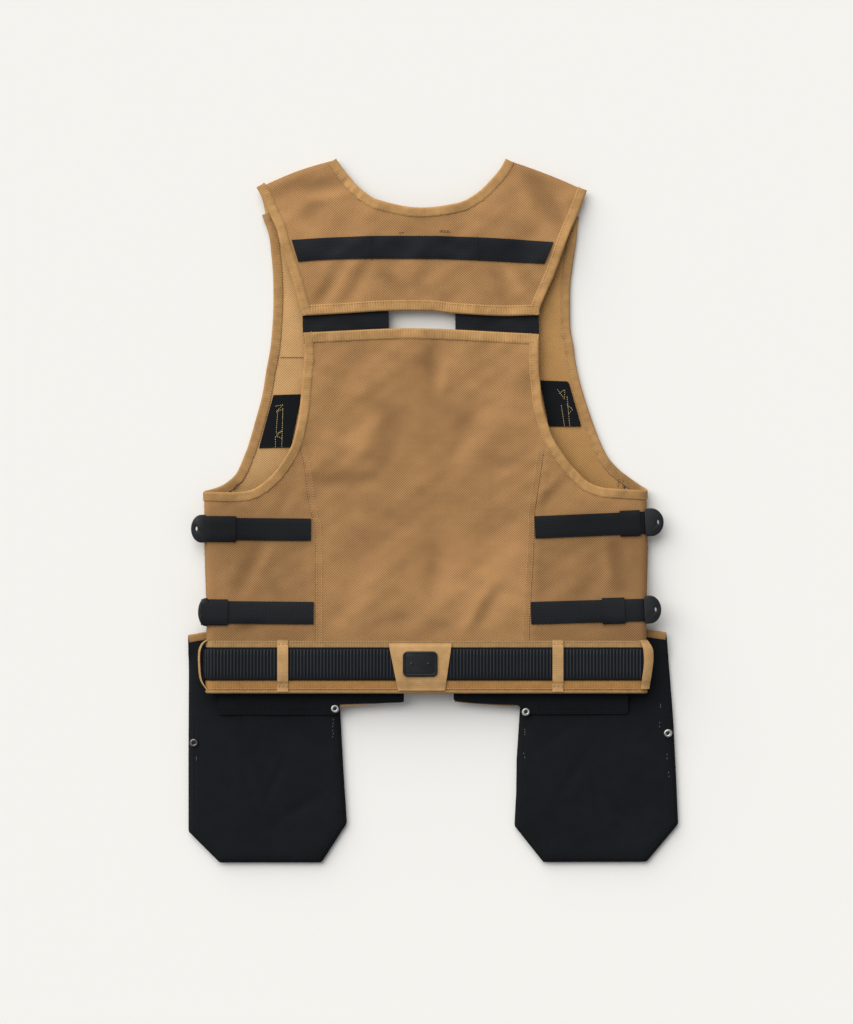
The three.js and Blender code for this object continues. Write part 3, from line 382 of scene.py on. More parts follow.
def shrunk(outline, distance):
    """A closed outline moved inwards."""
    ring = np.asarray(outline, float)
    following = np.roll(ring, -1, 0)
    if np.sum(ring[:, 0] * following[:, 1] - following[:, 0] * ring[:, 1]) < 0:
        ring = ring[::-1]
    before, after = ring - np.roll(ring, 1, 0), np.roll(ring, -1, 0) - ring
    before /= np.maximum(np.linalg.norm(before, axis=1, keepdims=True), 1e-12)
    after /= np.maximum(np.linalg.norm(after, axis=1, keepdims=True), 1e-12)
    left = np.stack([-before[:, 1] - after[:, 1], before[:, 0] + after[:, 0]], -1)
    left /= np.maximum((left**2).sum(1, keepdims=True) / 2, 0.6)
    return ring + left * distance


def distance_to(points, line):
    """The distance from each point to a line."""
    points = np.asarray(points, float)
    nearest = np.full(len(points), 1e9)
    for a, b in zip(line, line[1:]):
        d = b - a
        t = np.clip(((points - a) @ d) / max(d @ d, 1e-18), 0, 1)
        nearest = np.minimum(nearest, np.linalg.norm(points - a - t[:, None] * d, axis=1))
    return nearest


def joined(*lines):
    """A closed outline from lines that follow one another."""
    points = np.vstack(lines)
    keep = np.linalg.norm(points - np.roll(points, 1, 0), axis=1) > 0.0005
    return points[keep]


# Meshes

def piece_from(name, points, faces, material, slot, nodes=(), uv=None, angle=50):
    """A finished piece: a mesh that rides on the frame and stands for its CAD nodes."""
    mesh = bpy.data.meshes.new(name)
    mesh.from_pydata([tuple(p) for p in points], [], faces)
    if uv is not None:
        layer = mesh.uv_layers.new(name="cloth")
        flat_uv = np.asarray(uv, float)[[v for face in faces for v in face]]
        layer.data.foreach_set("uv", flat_uv.ravel())
    return finished(name, mesh, material, slot, nodes, angle)


def finished(name, mesh, material, slot, nodes=(), angle=50):
    shape = bmesh.new()
    shape.from_mesh(mesh)
    bmesh.ops.recalc_face_normals(shape, faces=shape.faces)
    shape.to_mesh(mesh)
    shape.free()
    mesh.shade_smooth()
    mesh.set_sharp_from_angle(angle=math.radians(angle))
    mesh.materials.clear()
    mesh.materials.append(material)
    piece = bpy.data.objects.new(name, mesh)
    bpy.context.scene.collection.objects.link(piece)
    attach(piece, "root")
    if nodes:
        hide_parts(*nodes)
    return piece


def quads(rows, columns, ring=False, flip=False):
    """The faces of a grid of points, closed round its columns if it is a ring."""
    faces = []
    for i in range(rows - 1):
        for j in range(columns if ring else columns - 1):
            k = (j + 1) % columns
            face = (i * columns + j, i * columns + k, (i + 1) * columns + k, (i + 1) * columns + j)
            faces.append(face[::-1] if flip else face)
    return faces


def slab(name, low, high, material, slot, nodes=(), uv=None, angle=50):
    """A closed sheet between two grids of points."""
    rows, columns = low.shape[:2]
    count = rows * columns
    faces = quads(rows, columns) + [tuple(v + count for v in f[::-1]) for f in quads(rows, columns)]
    rim = [j for j in range(columns)] + [i * columns + columns - 1 for i in range(1, rows)]
    rim += [(rows - 1) * columns + j for j in range(columns - 2, -1, -1)] + [i * columns for i in range(rows - 2, 0, -1)]
    faces += [(a, b, b + count, a + count) for a, b in zip(rim, rim[1:] + rim[:1])]
    points = np.vstack([low.reshape(-1, 3), high.reshape(-1, 3)])
    both = None if uv is None else np.vstack([uv.reshape(-1, 2)] * 2)
    return piece_from(name, points, faces, material, slot, nodes, both, angle)


def tube(name, rings, material, slot, nodes=(), uv=None, angle=60):
    """A closed form swept through rings of points, with flat ends."""
    rows, columns = rings.shape[:2]
    faces = quads(rows, columns, ring=True)
    faces += [tuple(range(columns)), tuple(range((rows - 1) * columns, rows * columns))]
    flat_uv = None if uv is None else uv.reshape(-1, 2)
    return piece_from(name, rings.reshape(-1, 3), faces, material, slot, nodes, flat_uv, angle)


def cut(name, outline, surface, thick, material, slot, nodes=(), pitch=0.005, angle=50, shade_creases=False):
    """A closed cloth panel over a flat outline. surface gives the points at (a, b, out)."""
    ring = np.asarray(outline, float)
    low, high = ring.min(0), ring.max(0)
    rows = np.arange(low[1] + pitch / 2, high[1], pitch * 0.87)
    inner = []
    for index, b in enumerate(rows):
        for a in np.arange(low[0] + pitch / (1 + index % 2), high[0], pitch):
            inner.append((a, b))
    inner = np.array(inner)
    closed = np.vstack([ring, ring[:1]])
    inner = inner[inside(inner, ring)]
    inner = inner[distance_to(inner, closed) > 0.55 * pitch]
    coords = [Vector(p) for p in np.vstack([ring, inner])]
    verts, _, faces, *_ = delaunay_2d_cdt(coords, [], [list(range(len(ring)))], 1, 1e-7)
    plan = np.array([tuple(v) for v in verts])
    used = sorted({v for face in faces for v in face})
    index = {v: i for i, v in enumerate(used)}
    faces = [tuple(index[v] for v in face) for face in faces]
    plan = plan[used]
    count = len(plan)
    top = surface(plan[:, 0], plan[:, 1], thick / 2)
    bottom = surface(plan[:, 0], plan[:, 1], -thick / 2)
    edges = {}
    for face in faces:
        for a, b in zip(face, face[1:] + face[:1]):
            if (b, a) in edges:
                del edges[(b, a)]
            else:
                edges[(a, b)] = True
    closed_faces = list(faces) + [tuple(v + count for v in f[::-1]) for f in faces]
    closed_faces += [(b, a, a + count, b + count) for a, b in edges]
    piece = piece_from(name, np.vstack([top, bottom]), closed_faces, material, slot, nodes, None, angle)
    # The fold depth is stored for the canvas finish, which paints shade in the creases from it.
    if shade_creases:
        depth = piece.data.attributes.new("hollow", "FLOAT", "POINT")
        depth.data.foreach_set("value", np.tile(hollow(plan[:, 0], plan[:, 1]), 2))
    triangle = np.array([face for face in faces])
    p, q, r = (top[triangle[:, k]] for k in range(3))
    piece["cloth_area"] = float(np.linalg.norm(np.cross(q - p, r - p), axis=1).sum() / 2)
    return piece


def inside(points, ring):
    """Which points lie within a closed outline."""
    x, y = points[:, 0], points[:, 1]
    result = np.zeros(len(points), bool)
    for (ax, ay), (bx, by) in zip(ring, np.roll(ring, -1, 0)):
        crosses = (ay > y) != (by > y)
        with np.errstate(divide="ignore", invalid="ignore"):
            at = (bx - ax) * (y - ay) / (by - ay) + ax
        result ^= crosses & (x < at)
    return result


def declare_cut(piece):
    """A panel's flat size is its cloth laid out: the box of its outline, and its own area."""
    del piece["cloth_area"]


# Shader maths

class Wire:
    """A shader value. Python's operators on it add Math nodes."""

    def __init__(self, finish, socket):
        self.finish, self.socket = finish, socket

    def math(self, operation, *values):
        return self.finish.node("ShaderNodeMath", {"operation": operation}, dict(enumerate(values)))

    def __add__(self, other):
        return self.math("ADD", self, other)

    def __mul__(self, other):
        return self.math("MULTIPLY", self, other)

    def __sub__(self, other):
        return self.math("SUBTRACT", self, other)

    def __rsub__(self, other):
        return self.math("SUBTRACT", other, self)

    def __truediv__(self, other):
        return self.math("DIVIDE", self, other)

    def __pow__(self, other):
        return self.math("POWER", self, other)

    __radd__, __rmul__ = __add__, __mul__

    def __neg__(self):
        return self.math("MULTIPLY", self, -1.0)

    def sine(self):
        return self.math("SINE", self)

    def absolute(self):
        return self.math("ABSOLUTE", self)

    def between(self, low, high):
        """0 below low, 1 above high, and smooth between them."""
        return self.finish.node("ShaderNodeMapRange", {"interpolation_type": "SMOOTHSTEP"}, {0: self, 1: low, 2: high})


class Finish:
    """A material under construction."""

    def __init__(self, name):
        self.material = bpy.data.materials.new(name)
        self.material.use_nodes = True
        self.tree = self.material.node_tree
        self.shader = next(n for n in self.tree.nodes if n.type == "BSDF_PRINCIPLED")

    def node(self, kind, settings=None, values=None, output=0):
        node = self.tree.nodes.new(kind)
        for key, value in (settings or {}).items():
            setattr(node, key, value)
        for key, value in (values or {}).items():
            if isinstance(value, Wire):
                self.tree.links.new(value.socket, node.inputs[key])
            else:
                node.inputs[key].default_value = value
        return Wire(self, node.outputs[output])

    def place(self):
        """The x, y and z of the piece's own place."""
        coordinates = self.node("ShaderNodeTexCoord", output="Object")
        parts = self.node("ShaderNodeSeparateXYZ", values={0: coordinates})
        return coordinates, *(Wire(self, parts.socket.node.outputs[k]) for k in range(3))

    def along(self):
        """The distances along and across the cloth, from its UV map."""
        coordinates = self.node("ShaderNodeUVMap", {"uv_map": "cloth"})
        parts = self.node("ShaderNodeSeparateXYZ", values={0: coordinates})
        return coordinates, *(Wire(self, parts.socket.node.outputs[k]) for k in range(2))

    def noise(self, coordinates, scale, detail=2.0, roughness=0.5):
        values = {"Vector": coordinates, "Scale": scale, "Detail": detail, "Roughness": roughness}
        return self.node("ShaderNodeTexNoise", {"noise_dimensions": "3D"}, values)

    def colour(self, first, second, part):
        values = {"Factor": part, 6: tone(first), 7: tone(second)}
        return self.node("ShaderNodeMix", {"data_type": "RGBA"}, values, output=2)

    def tinted(self, colour, level):
        """The colour at a level around 1."""
        return self.colour((0, 0, 0), shade(colour, 2), level * 0.5)

    def blended(self, first, second, part, level):
        """A blend of two colours, at a level around 1."""
        return self.colour((0, 0, 0), self.colour(shade(first, 2), shade(second, 2), part), level * 0.5)

    def set(self, **values):
        for key, value in values.items():
            socket = self.shader.inputs[key.replace("_", " ")]
            if isinstance(value, Wire):
                self.tree.links.new(value.socket, socket)
            else:
                socket.default_value = value

    def bump(self, height, distance, strength=1.0):
        values = {"Height": height, "Distance": distance, "Strength": strength}
        self.set(Normal=self.node("ShaderNodeBump", values=values))


def tone(value):
    """A colour for a Mix node's socket."""
    return value if isinstance(value, Wire) else (*value, 1.0)


def shade(colour, factor):
    return tuple(max(0.0, c * factor) for c in colour)


def canvas_finish(name, colour, right_colour, weave, painted_shade_depth, woven=0.34):
    """Plain woven canvas with a fine diamond weave, more faded towards the shoulders."""
    f = Finish(name)
    where, x, y, z = f.place()
    k = 2 * math.pi / weave
    dots = (x * k).sine() * (y * (k * 1.13)).sine()
    thread = f.noise(where, 900, 2, 0.6)
    cloud = f.noise(where, 7, 3, 0.55)
    patchy = f.noise(where, 38, 3, 0.6)
    detail = 0.47 + dots * woven + thread * 0.34 + cloud * 0.42 + patchy * 0.3
    # Painted shade: the colour darkens downwards from the shoulders, standing for light that falls off towards the hem.
    painted_falloff = 1 - painted_shade_depth + y.between(-0.16, 0.28) * painted_shade_depth
    # Painted shade on the side panels below the armholes, deeper on the right side.
    sides = (x - CENTRE_BACK[0]).absolute().between(0.125, 0.155) * (1 - y.between(-0.04, 0.02))
    right = 1 + x.between(0, 0.01) * 0.7
    # Painted shade in the creases: the fold depth stored on the panel darkens the colour.
    crease_shade = f.node("ShaderNodeAttribute", {"attribute_name": "hollow"}, output=2)
    level = detail * painted_falloff * (1 - sides * right * (1.3 * painted_shade_depth)) * (1 - crease_shade * 0.19)
    # The right-hand colour blends in on the right front; for the lining it is painted shade.
    f.set(Base_Color=f.blended(colour, right_colour, x.between(-0.1, 0.1), level))
    f.set(Roughness=thread * 0.12 + 0.78, Specular_IOR_Level=0.12)
    f.bump(dots * 0.8 + thread * 0.9 + patchy * 0.8, 0.0005, 0.6)
    return f.material


def tape_finish(name, colour, rib, ribbed=0.3, low_colour=None, painted_tape_shade=0.0, depth=0.0003):
    """Ribbed tape, unevenly drawn up. low_colour is that below the belt, aged darkens the side folds."""
    f = Finish(name)
    where, u, v = f.along()
    space, x, y, z = f.place()
    cloud = f.noise(space, 30, 3, 0.6)
    ribs = (u * (2 * math.pi / rib) + cloud * 5).sine()
    thread = f.noise(space, 800, 2, 0.6)
    gather = f.noise(space, 110, 2, 0.5)
    sides = (x - CENTRE_BACK[0]).absolute().between(0.225, 0.265)
    detail = (0.4 + ribs * (0.1 * ribbed) + thread * 0.3 + cloud * 0.5 + gather * 0.4)
    # Painted shade: darker at the side folds and where the tape lies low.
    detail = detail * (1 - sides * painted_tape_shade) * (1 - 0.8 * painted_tape_shade + z.between(0.004, 0.013) * (0.8 * painted_tape_shade))
    if low_colour:
        belt_middle = (BELT_BOTTOM + BELT_TOP) / 2 + CENTRE_BACK[1]
        f.set(Base_Color=f.blended(low_colour, colour, y.between(belt_middle - 0.01, belt_middle + 0.01), detail))
    else:
        f.set(Base_Color=f.tinted(colour, detail))
    f.set(Roughness=thread * 0.14 + 0.74, Specular_IOR_Level=0.12)
    f.bump(ribs * (0.7 * ribbed) + thread * 0.5 + gather * 2, depth, 0.7)
    return f.material


def webbing_finish(name, colour, line):
    """Flat black webbing: fine cords along it, crossed by the weft."""
    f = Finish(name)
    where, u, v = f.along()
    space, x, y, z = f.place()
    k = 2 * math.pi / line
    cords = (v * k).sine()
    weft = (u * k * 1.3 + cords * 0.8).sine()
    thread = f.noise(space, 700, 2, 0.6)
    cloud = f.noise(space, 22, 3, 0.6)
    detail = 0.55 + cords * 0.08 + weft * 0.1 + thread * 0.4 + cloud * 0.5
    f.set(Base_Color=f.tinted(colour, detail))
    f.set(Roughness=thread * 0.2 + 0.55, Specular_IOR_Level=0.14)
    f.bump(cords * 0.3 + weft * 0.4 + thread * 0.4, 0.0004, 0.5)
    return f.material


def heavy_canvas_finish(name, colour):
    """Matte black canvas, a little dusty and faded in patches."""
    f = Finish(name)
    where, x, y, z = f.place()
    k = 2 * math.pi / 0.0032
    warp = (x * k).sine() * (y * k).sine()
    thread = f.noise(where, 850, 2, 0.65)
    cloud = f.noise(where, 9, 4, 0.6)
    dust = f.noise(where, 55, 4, 0.65)
    f.set(Base_Color=f.tinted(colour, 0.2 + warp * 0.2 + thread * 0.5 + cloud * 0.6 + dust * 0.5))
    f.set(Roughness=thread * 0.1 + 0.85, Specular_IOR_Level=0.09)
    f.bump(warp * 0.5 + thread * 0.8 + dust * 1.2, 0.0005, 0.5)
    return f.material


def thread_finish(name, colour):
    """Sewing thread with a slight sheen."""
    f = Finish(name)
    where, x, y, z = f.place()
    twist = ((x + y * 0.6) * (2 * math.pi / 0.0007)).sine()
    cloud = f.noise(where, 300, 2, 0.5)
    f.set(Base_Color=f.colour(shade(colour, 0.8), shade(colour, 1.2), twist * 0.25 + cloud))
    f.set(Roughness=cloud * 0.2 + 0.5, Specular_IOR_Level=0.15)
    f.bump(twist, 0.0001, 0.5)
    return f.material


def plastic_finish(name, colour):
    """Fine-grained moulded plastic."""
    f = Finish(name)
    where, x, y, z = f.place()
    grain = f.noise(where, 1800, 2, 0.6)
    wear = f.noise(where, 90, 3, 0.6)
    f.set(Base_Color=f.colour(shade(colour, 0.8), shade(colour, 1.5), wear))
    f.set(Roughness=wear * 0.2 + 0.22, Specular_IOR_Level=0.3)
    f.bump(grain, 0.0001, 0.5)
    return f.material


def steel_finish(name, colour):
    """Dull nickel plate with turning marks."""
    f = Finish(name)
    where, x, y, z = f.place()
    marks = f.noise(where, 1400, 3, 0.6)
    tarnish = f.noise(where, 260, 3, 0.6)
    f.set(Base_Color=f.colour(shade(colour, 0.6), shade(colour, 1.15), tarnish * 0.7 + marks * 0.3))
    f.set(Metallic=1.0, Roughness=marks * 0.25 + 0.25)
    f.bump(marks, 0.00008, 0.5)
    return f.material


MATERIALS = {}


def materials():
    """The vest's finishes, made once from the colours in the panel."""
    if not MATERIALS:
        c, s = bpy.context.scene.vest_colours, bpy.context.scene.vest_sizes
        MATERIALS["canvas"] = canvas_finish("canvas", c.canvas, c.canvas, s.weave, 0.12)
        MATERIALS["lining"] = canvas_finish("canvas_inside", c.lining, c.lining_right_shaded, s.weave, 0.36, 0.2)
        MATERIALS["tape"] = tape_finish("tape", c.tape, s.tape_rib, 0.25, painted_tape_shade=0.2)
        MATERIALS["slot_tape"] = tape_finish("slot_tape", c.tape, s.tape_rib, 0.8)
        MATERIALS["hem"] = tape_finish("hem_tape", shade(c.tape, 0.74), s.tape_rib, 0.3)
        MATERIALS["loop"] = tape_finish("loop_tape", c.loop, 0.0024, 0.3)
        MATERIALS["waist"] = tape_finish("waist_tape", c.waist, s.tape_rib, 0.5, c.waist_low)
        # Painted shade: the straps are the webbing painted darker, a shaded copy of the yoke's webbing.
        MATERIALS["strap"] = webbing_finish("strap", shade(c.webbing, 0.72), 0.0024)
        MATERIALS["webbing"] = webbing_finish("webbing", c.webbing, 0.0024)
        MATERIALS["belting"] = webbing_finish("belting", c.belt, 0.0022)
        # The ribs' colour is partly a painted highlight.
        MATERIALS["rib"] = webbing_finish("belt_rib", c.belt_rib, 0.0022)
        MATERIALS["elastic"] = webbing_finish("elastic", c.webbing, 0.0018)
        MATERIALS["heavy"] = heavy_canvas_finish("heavy_canvas", c.holster)
        MATERIALS["thread"] = thread_finish("tan_thread", c.thread)
        MATERIALS["gold"] = thread_finish("gold_thread", c.gold_thread)
        MATERIALS["brown"] = thread_finish("brown_thread", c.brown_thread)
        MATERIALS["pale"] = thread_finish("pale_thread", c.pale_thread)
        MATERIALS["dark_thread"] = thread_finish("black_thread", c.dark_thread)
        MATERIALS["plastic"] = plastic_finish("plastic", c.plastic)
        MATERIALS["steel"] = steel_finish("steel", c.steel)
        MATERIALS["dull_steel"] = steel_finish("dull_steel", shade(c.steel, 0.3))
    return MATERIALS


# Geometry Nodes

def rows_tree():
    """Repeats a small shape along lines, its x along the line and its z along the attribute up."""
    name = "vest_rows"
    if name in bpy.data.node_groups:
        return bpy.data.node_groups[name]
    tree = bpy.data.node_groups.new(name, "GeometryNodeTree")
    face = tree.interface
    face.new_socket("Geometry", in_out="INPUT", socket_type="NodeSocketGeometry")
    face.new_socket("Shape", in_out="INPUT", socket_type="NodeSocketObject")
    face.new_socket("Pitch", in_out="INPUT", socket_type="NodeSocketFloat").default_value = 0.003
    face.new_socket("Unevenness", in_out="INPUT", socket_type="NodeSocketFloat").default_value = 0.0
    face.new_socket("Material", in_out="INPUT", socket_type="NodeSocketMaterial")
    face.new_socket("Geometry", in_out="OUTPUT", socket_type="NodeSocketGeometry")

    def node(kind, settings=None, values=None):
        made = tree.nodes.new(kind)
        for key, value in (settings or {}).items():
            setattr(made, key, value)
        for key, value in (values or {}).items():
            if isinstance(value, bpy.types.NodeSocket):
                tree.links.new(value, made.inputs[key])
            else:
                made.inputs[key].default_value = value
        return made

    given = node("NodeGroupInput")
    curve = node("GeometryNodeMeshToCurve", values={"Mesh": given.outputs["Geometry"]})
    marks = node("GeometryNodeResampleCurve", {"mode": "LENGTH"},
                 {"Curve": curve.outputs[0], "Length": given.outputs["Pitch"]})
    tangent = node("GeometryNodeInputTangent")
    up = node("GeometryNodeInputNamedAttribute", {"data_type": "FLOAT_VECTOR"}, {"Name": "up"})
    seeded = node("FunctionNodeRandomValue", {"data_type": "FLOAT"}, {"Min": -1.0, "Max": 1.0, "Seed": 7})
    seeded_output = next(o for o in seeded.outputs if o.enabled)
    spread = node("ShaderNodeMath", {"operation": "MULTIPLY"}, {0: seeded_output, 1: given.outputs["Unevenness"]})
    stretch = node("ShaderNodeMath", {"operation": "ADD"}, {0: spread.outputs[0], 1: 1.0})
    scale = node("ShaderNodeCombineXYZ", values={"X": stretch.outputs[0], "Y": 1.0, "Z": 1.0})
    first = node("FunctionNodeAlignRotationToVector", {"axis": "X"}, {"Vector": tangent.outputs[0]})
    second = node("FunctionNodeAlignRotationToVector", {"axis": "Z", "pivot_axis": "X"},
                  {"Rotation": first.outputs[0], "Vector": up.outputs["Attribute"]})
    shape = node("GeometryNodeObjectInfo", values={"Object": given.outputs["Shape"]})
    copies = node("GeometryNodeInstanceOnPoints", values={
        "Points": marks.outputs[0], "Instance": shape.outputs["Geometry"],
        "Rotation": second.outputs[0], "Scale": scale.outputs[0],
    })
    real = node("GeometryNodeRealizeInstances", values={0: copies.outputs[0]})
    painted = node("GeometryNodeSetMaterial", values={0: real.outputs[0], "Material": given.outputs["Material"]})
    tree.links.new(painted.outputs[0], node("NodeGroupOutput").inputs[0])
    return tree


def repeated(name, lines, shape, pitch, material, slot, nodes=(), unevenness=0.0):
    """Bakes copies of a shape along lines into one mesh. Each line is (points, ups)."""
    points, ups, edges = [], [], []
    for line, up in lines:
        start = len(points)
        points += [tuple(p) for p in line]
        ups += [tuple(u) for u in np.broadcast_to(up, (len(line), 3))]
        edges += [(start + i, start + i + 1) for i in range(len(line) - 1)]
    mesh = bpy.data.meshes.new(name)
    mesh.from_pydata(points, edges, [])
    attribute = mesh.attributes.new("up", "FLOAT_VECTOR", "POINT")
    attribute.data.foreach_set("vector", np.array(ups, float).ravel())
    carrier = bpy.data.objects.new(name + "_lines", mesh)
    bpy.context.scene.collection.objects.link(carrier)
    tree = rows_tree()
    modifier = carrier.modifiers.new("Rows", "NODES")
    modifier.node_group = tree
    given = {"Shape": shape, "Pitch": pitch, "Unevenness": unevenness, "Material": material}
    for item in tree.interface.items_tree:
        if item.in_out == "INPUT" and item.name in given:
            modifier[item.identifier] = given[item.name]
    bpy.context.view_layer.update()
    evaluated = carrier.evaluated_get(bpy.context.evaluated_depsgraph_get())
    baked = bpy.data.meshes.new_from_object(evaluated)
    carrier.modifiers.clear()
    bpy.data.objects.remove(carrier)
    for extra in [a.name for a in baked.attributes if a.name == "up"]:
        baked.attributes.remove(baked.attributes[extra])
    return finished(name, baked, material, slot, nodes)


def small_shape(name, points, faces):
    """A shape for the rows, kept out of the scene."""
    mesh = bpy.data.meshes.new(name)
    mesh.from_pydata(points, [], faces)
    return bpy.data.objects.new(name, mesh)


def stitch_shape(length, width, height):
    """One stitch: a bead of thread that dips into the cloth at both ends."""
    stations = ((-0.5, 0.25, -0.5), (-0.36, 0.85, 0.25), (0, 1, 0.6), (0.36, 0.85, 0.25), (0.5, 0.25, -0.5))
    points = []
    for along, wide, up in stations:
        for k in range(6):
            angle = math.tau * k / 6
            points.append((along * length, wide * width / 2 * math.cos(angle), height * (up + 0.5 * wide * math.sin(angle))))
    faces = quads(len(stations), 6, ring=True)
    faces += [tuple(range(6)), tuple(range(len(points) - 6, len(points)))]
    return small_shape("stitch", points, faces)


def seam_line(line, out, lift=0.0, front=False):
    """A seam's line on the cloth, with its outward direction."""
    line = spaced(line, 0.003)
    points = place(line[:, 0], line[:, 1], out)
    above = place(line[:, 0], line[:, 1], out + 0.001)
    up = above - points
    up /= np.linalg.norm(up, axis=1, keepdims=True)
    return points + up * lift, up


# Lines that several pieces share

def line_of(points, pitch=0.004):
    return smooth(flat(points), pitch)


def armhole_round(side):
    """The edge of an armhole, from the slot round the side fold and up to the shoulder."""
    back = line_of(BACK_ARMHOLE[side])
    front = line_of(FRONT_ARMHOLE[side])[::-1]
    front = front[front[:, 1] < 479 * UNIT]
    upper = np.stack([round_back(back[:, 0], back[:, 1]), back[:, 1]], -1)
    lower = np.stack([round_front(front[:, 0], front[:, 1]), front[:, 1]], -1)
    return spaced(np.vstack([upper, lower[1:]]), 0.002)


def sign(side):
    return -1 if side == "left" else 1


# The pieces

def pucker(line, size, wave=0.011):
    """Small gathers along a sewn edge."""
    run = np.concatenate([[0], np.cumsum(np.linalg.norm(np.diff(line, axis=0), axis=1))])
    waves = np.sin(run * math.tau / wave) + 0.6 * np.sin(run * math.tau / (wave * 1.73) + 1.3)
    return size * (0.4 + 0.9 * np.sin(run * 19 + 1) ** 2) * (waves + 0.5 * np.sin(run * math.tau / 0.0062))


def edging(name, line, width, inward, slot, nodes, material="tape", half=TAPE_OUT, surface=place):
    """Tape folded round an edge, swept along it. inward is the side of the cloth, 1 for left."""
    wall = TAPE_OUT - TAPE_IN
    core = half - wall
    arc = [(half - half * math.sin(a), half * math.cos(a)) for a in np.linspace(0, math.pi, 9)]
    inner = [(half - core * math.sin(a), core * math.cos(a)) for a in np.linspace(math.pi, 0, 7)]
    upper = [(width, core + 0.0004), (width - 0.0007, core + 0.0008), (width * 0.65, half - 0.0003), (width * 0.35, half)]
    lower = [(w, -h) for w, h in upper[::-1]]
    section = upper + arc + lower + [(width, -core)] + inner + [(width, core)]
    normal = normals(line) * inward
    drawn_up = np.exp(-((line[:, 0] + 0.078) / 0.020) ** 2) * smoothstep(line[:, 1], 0.58, 0.60)
    waves = pucker(line, 0.00022) * (1 + 1.8 * drawn_up)
    rings, coordinates = [], []
    run = np.concatenate([[0], np.cumsum(np.linalg.norm(np.diff(line, axis=0), axis=1))])
    for w, out in section:
        at = line + normal * w
        wobble = waves * (w / width) * np.sign(out)
        rings.append(surface(at[:, 0], at[:, 1], out + wobble))
        coordinates.append(np.stack([run, np.full(len(run), w)], -1))
    return tube(name, np.stack(rings, 1), materials()[material], slot, nodes, np.stack(coordinates, 1))


def ribbon(name, line, width, low, high, material, slot, nodes, across=9, crown=0.0003):
    """A flat band of webbing along a line."""
    edges = moved(line, -width / 2), moved(line, width / 2)
    return strip(name, *edges, low, high, material, slot, nodes, across, crown)


def strip(name, lower, upper, low, high, material, slot, nodes, across=9, crown=0.0003):
    """A flat band between two lines, its edges rounded and its middle a little crowned."""
    middle = (lower + upper) / 2
    run = np.concatenate([[0], np.cumsum(np.linalg.norm(np.diff(middle, axis=0), axis=1))])
    width = np.linalg.norm(upper - lower, axis=1)
    lows, highs, coordinates = [], [], []
    for share in np.linspace(-1, 1, across):
        at = middle + (upper - lower) * share / 2
        rim = 0.3 * (high - low) * abs(share) ** 12
        lows.append(place(at[:, 0], at[:, 1], low + rim))
        highs.append(place(at[:, 0], at[:, 1], high - rim + crown * (1 - share * share)))
        coordinates.append(np.stack([run, width * share / 2], -1))
    uv = np.stack(coordinates, 1)
    return slab(name, np.stack(lows, 1), np.stack(highs, 1), materials()[material], slot, nodes, uv)


def shoulder_rounding(x, y):
    """How far a layer comes in at the fold along the shoulder."""
    down = np.maximum(shoulder_drop(x, y) * BACK_LENGTH, 0)
    part = np.clip(1 - down / 0.0035, 0, 1)
    return (SHOULDER_PITCH / 2 - 0.0005) * (1 - np.sqrt(np.maximum(1 - part * part, 0)))


def back_panels():
    """Yoke, centre back and the two side panels that turn under at the side folds."""
    cloth = bpy.context.scene.vest_sizes.cloth
    canvas = materials()["canvas"]
    yoke = joined(
        line_of(YOKE_ARMHOLE["left"]), line_of(SLOT_TOP), line_of(YOKE_ARMHOLE["right"])[::-1],
        line_of(SHOULDER["right"])[::-1], line_of(NECK)[::-1], line_of(SHOULDER["left"]),
    )

    def yoke_surface(x, y, out):
        points = place(x, y, out)
        points[:, 2] -= shoulder_rounding(x, y)
        return points

    piece = cut("yoke_cloth", shrunk(yoke, 0.0016), yoke_surface, cloth, canvas, "canvas", ["back_yoke"], 0.0045,
                shade_creases=True)
    declare_cut(piece)

    seams = {side: line_of(PRINCESS_SEAM[side]) for side in ("left", "right")}
    centre = joined(
        line_of(SLOT_BOTTOM),
        line_of([p for p in BACK_ARMHOLE["right"] if p[1] > 255]), seams["right"],
        seams["left"][::-1], line_of([p for p in BACK_ARMHOLE["left"] if p[1] > 250])[::-1],
    )

    def seamed(x, y, out):
        points = place(x, y, out)
        flat_points = np.stack([x, y], -1)
        near = np.minimum(distance_to(flat_points, seams["left"]), distance_to(flat_points, seams["right"]))
        run = np.sin(np.asarray(y) * math.tau / 0.013) + 0.7 * np.sin(np.asarray(y) * math.tau / 0.0218 + 1)
        points[:, 2] += -0.0002 * np.exp(-(near / 0.0011) ** 2) + 0.0006 * np.exp(-((near - 0.0055) / 0.004) ** 2)
        points[:, 2] += 0.00022 * run * np.exp(-((near - 0.006) / 0.006) ** 2)
        return points

    piece = cut("centre_back_cloth", shrunk(centre, 0.00008), seamed, cloth, canvas, "canvas", ["back_centre"], 0.0045,
                shade_creases=True)
    declare_cut(piece)

    for side in ("left", "right"):
        armhole = armhole_round(side)
        seam = seams[side]
        top = armhole[(np.abs(armhole[:, 0]) > abs(seam[0][0])) & (armhole[:, 1] < seam[0][1])]
        bottom_y = 0.002
        middle = float(side_fold(sign(side), 0.2)) - LAYER_PITCH / 2
        end = middle + math.pi * LAYER_PITCH / 2 + 0.016
        top = top[np.abs(top[:, 0]) < end]
        under = spaced([(sign(side) * end, top[-1][1]), (sign(side) * end, bottom_y)], 0.005)
        hem = spaced([(sign(side) * end, bottom_y), tuple(seam[-1])], 0.005)
        outline = joined(top, under, hem, seam[::-1])
        piece = cut(
            f"side_panel_cloth_{side}", shrunk(outline, 0.00008), seamed, cloth, canvas, "canvas",
            [f"back_side_{side}"], 0.0045, shade_creases=True,
        )
        declare_cut(piece)


def facing_height(x, y):
    """The middle of the facing, which sinks on to the holster below the front's hem."""
    ripple = 0.0004 * np.sin(x * 90) * smoothstep(-y, 0, 0.02)
    sunk = 0.0022 * smoothstep(-y, 14 * UNIT, 21 * UNIT)
    return front_height(x, y) + PANEL / 2 + CLEARANCE + 0.0007 + ripple - sunk


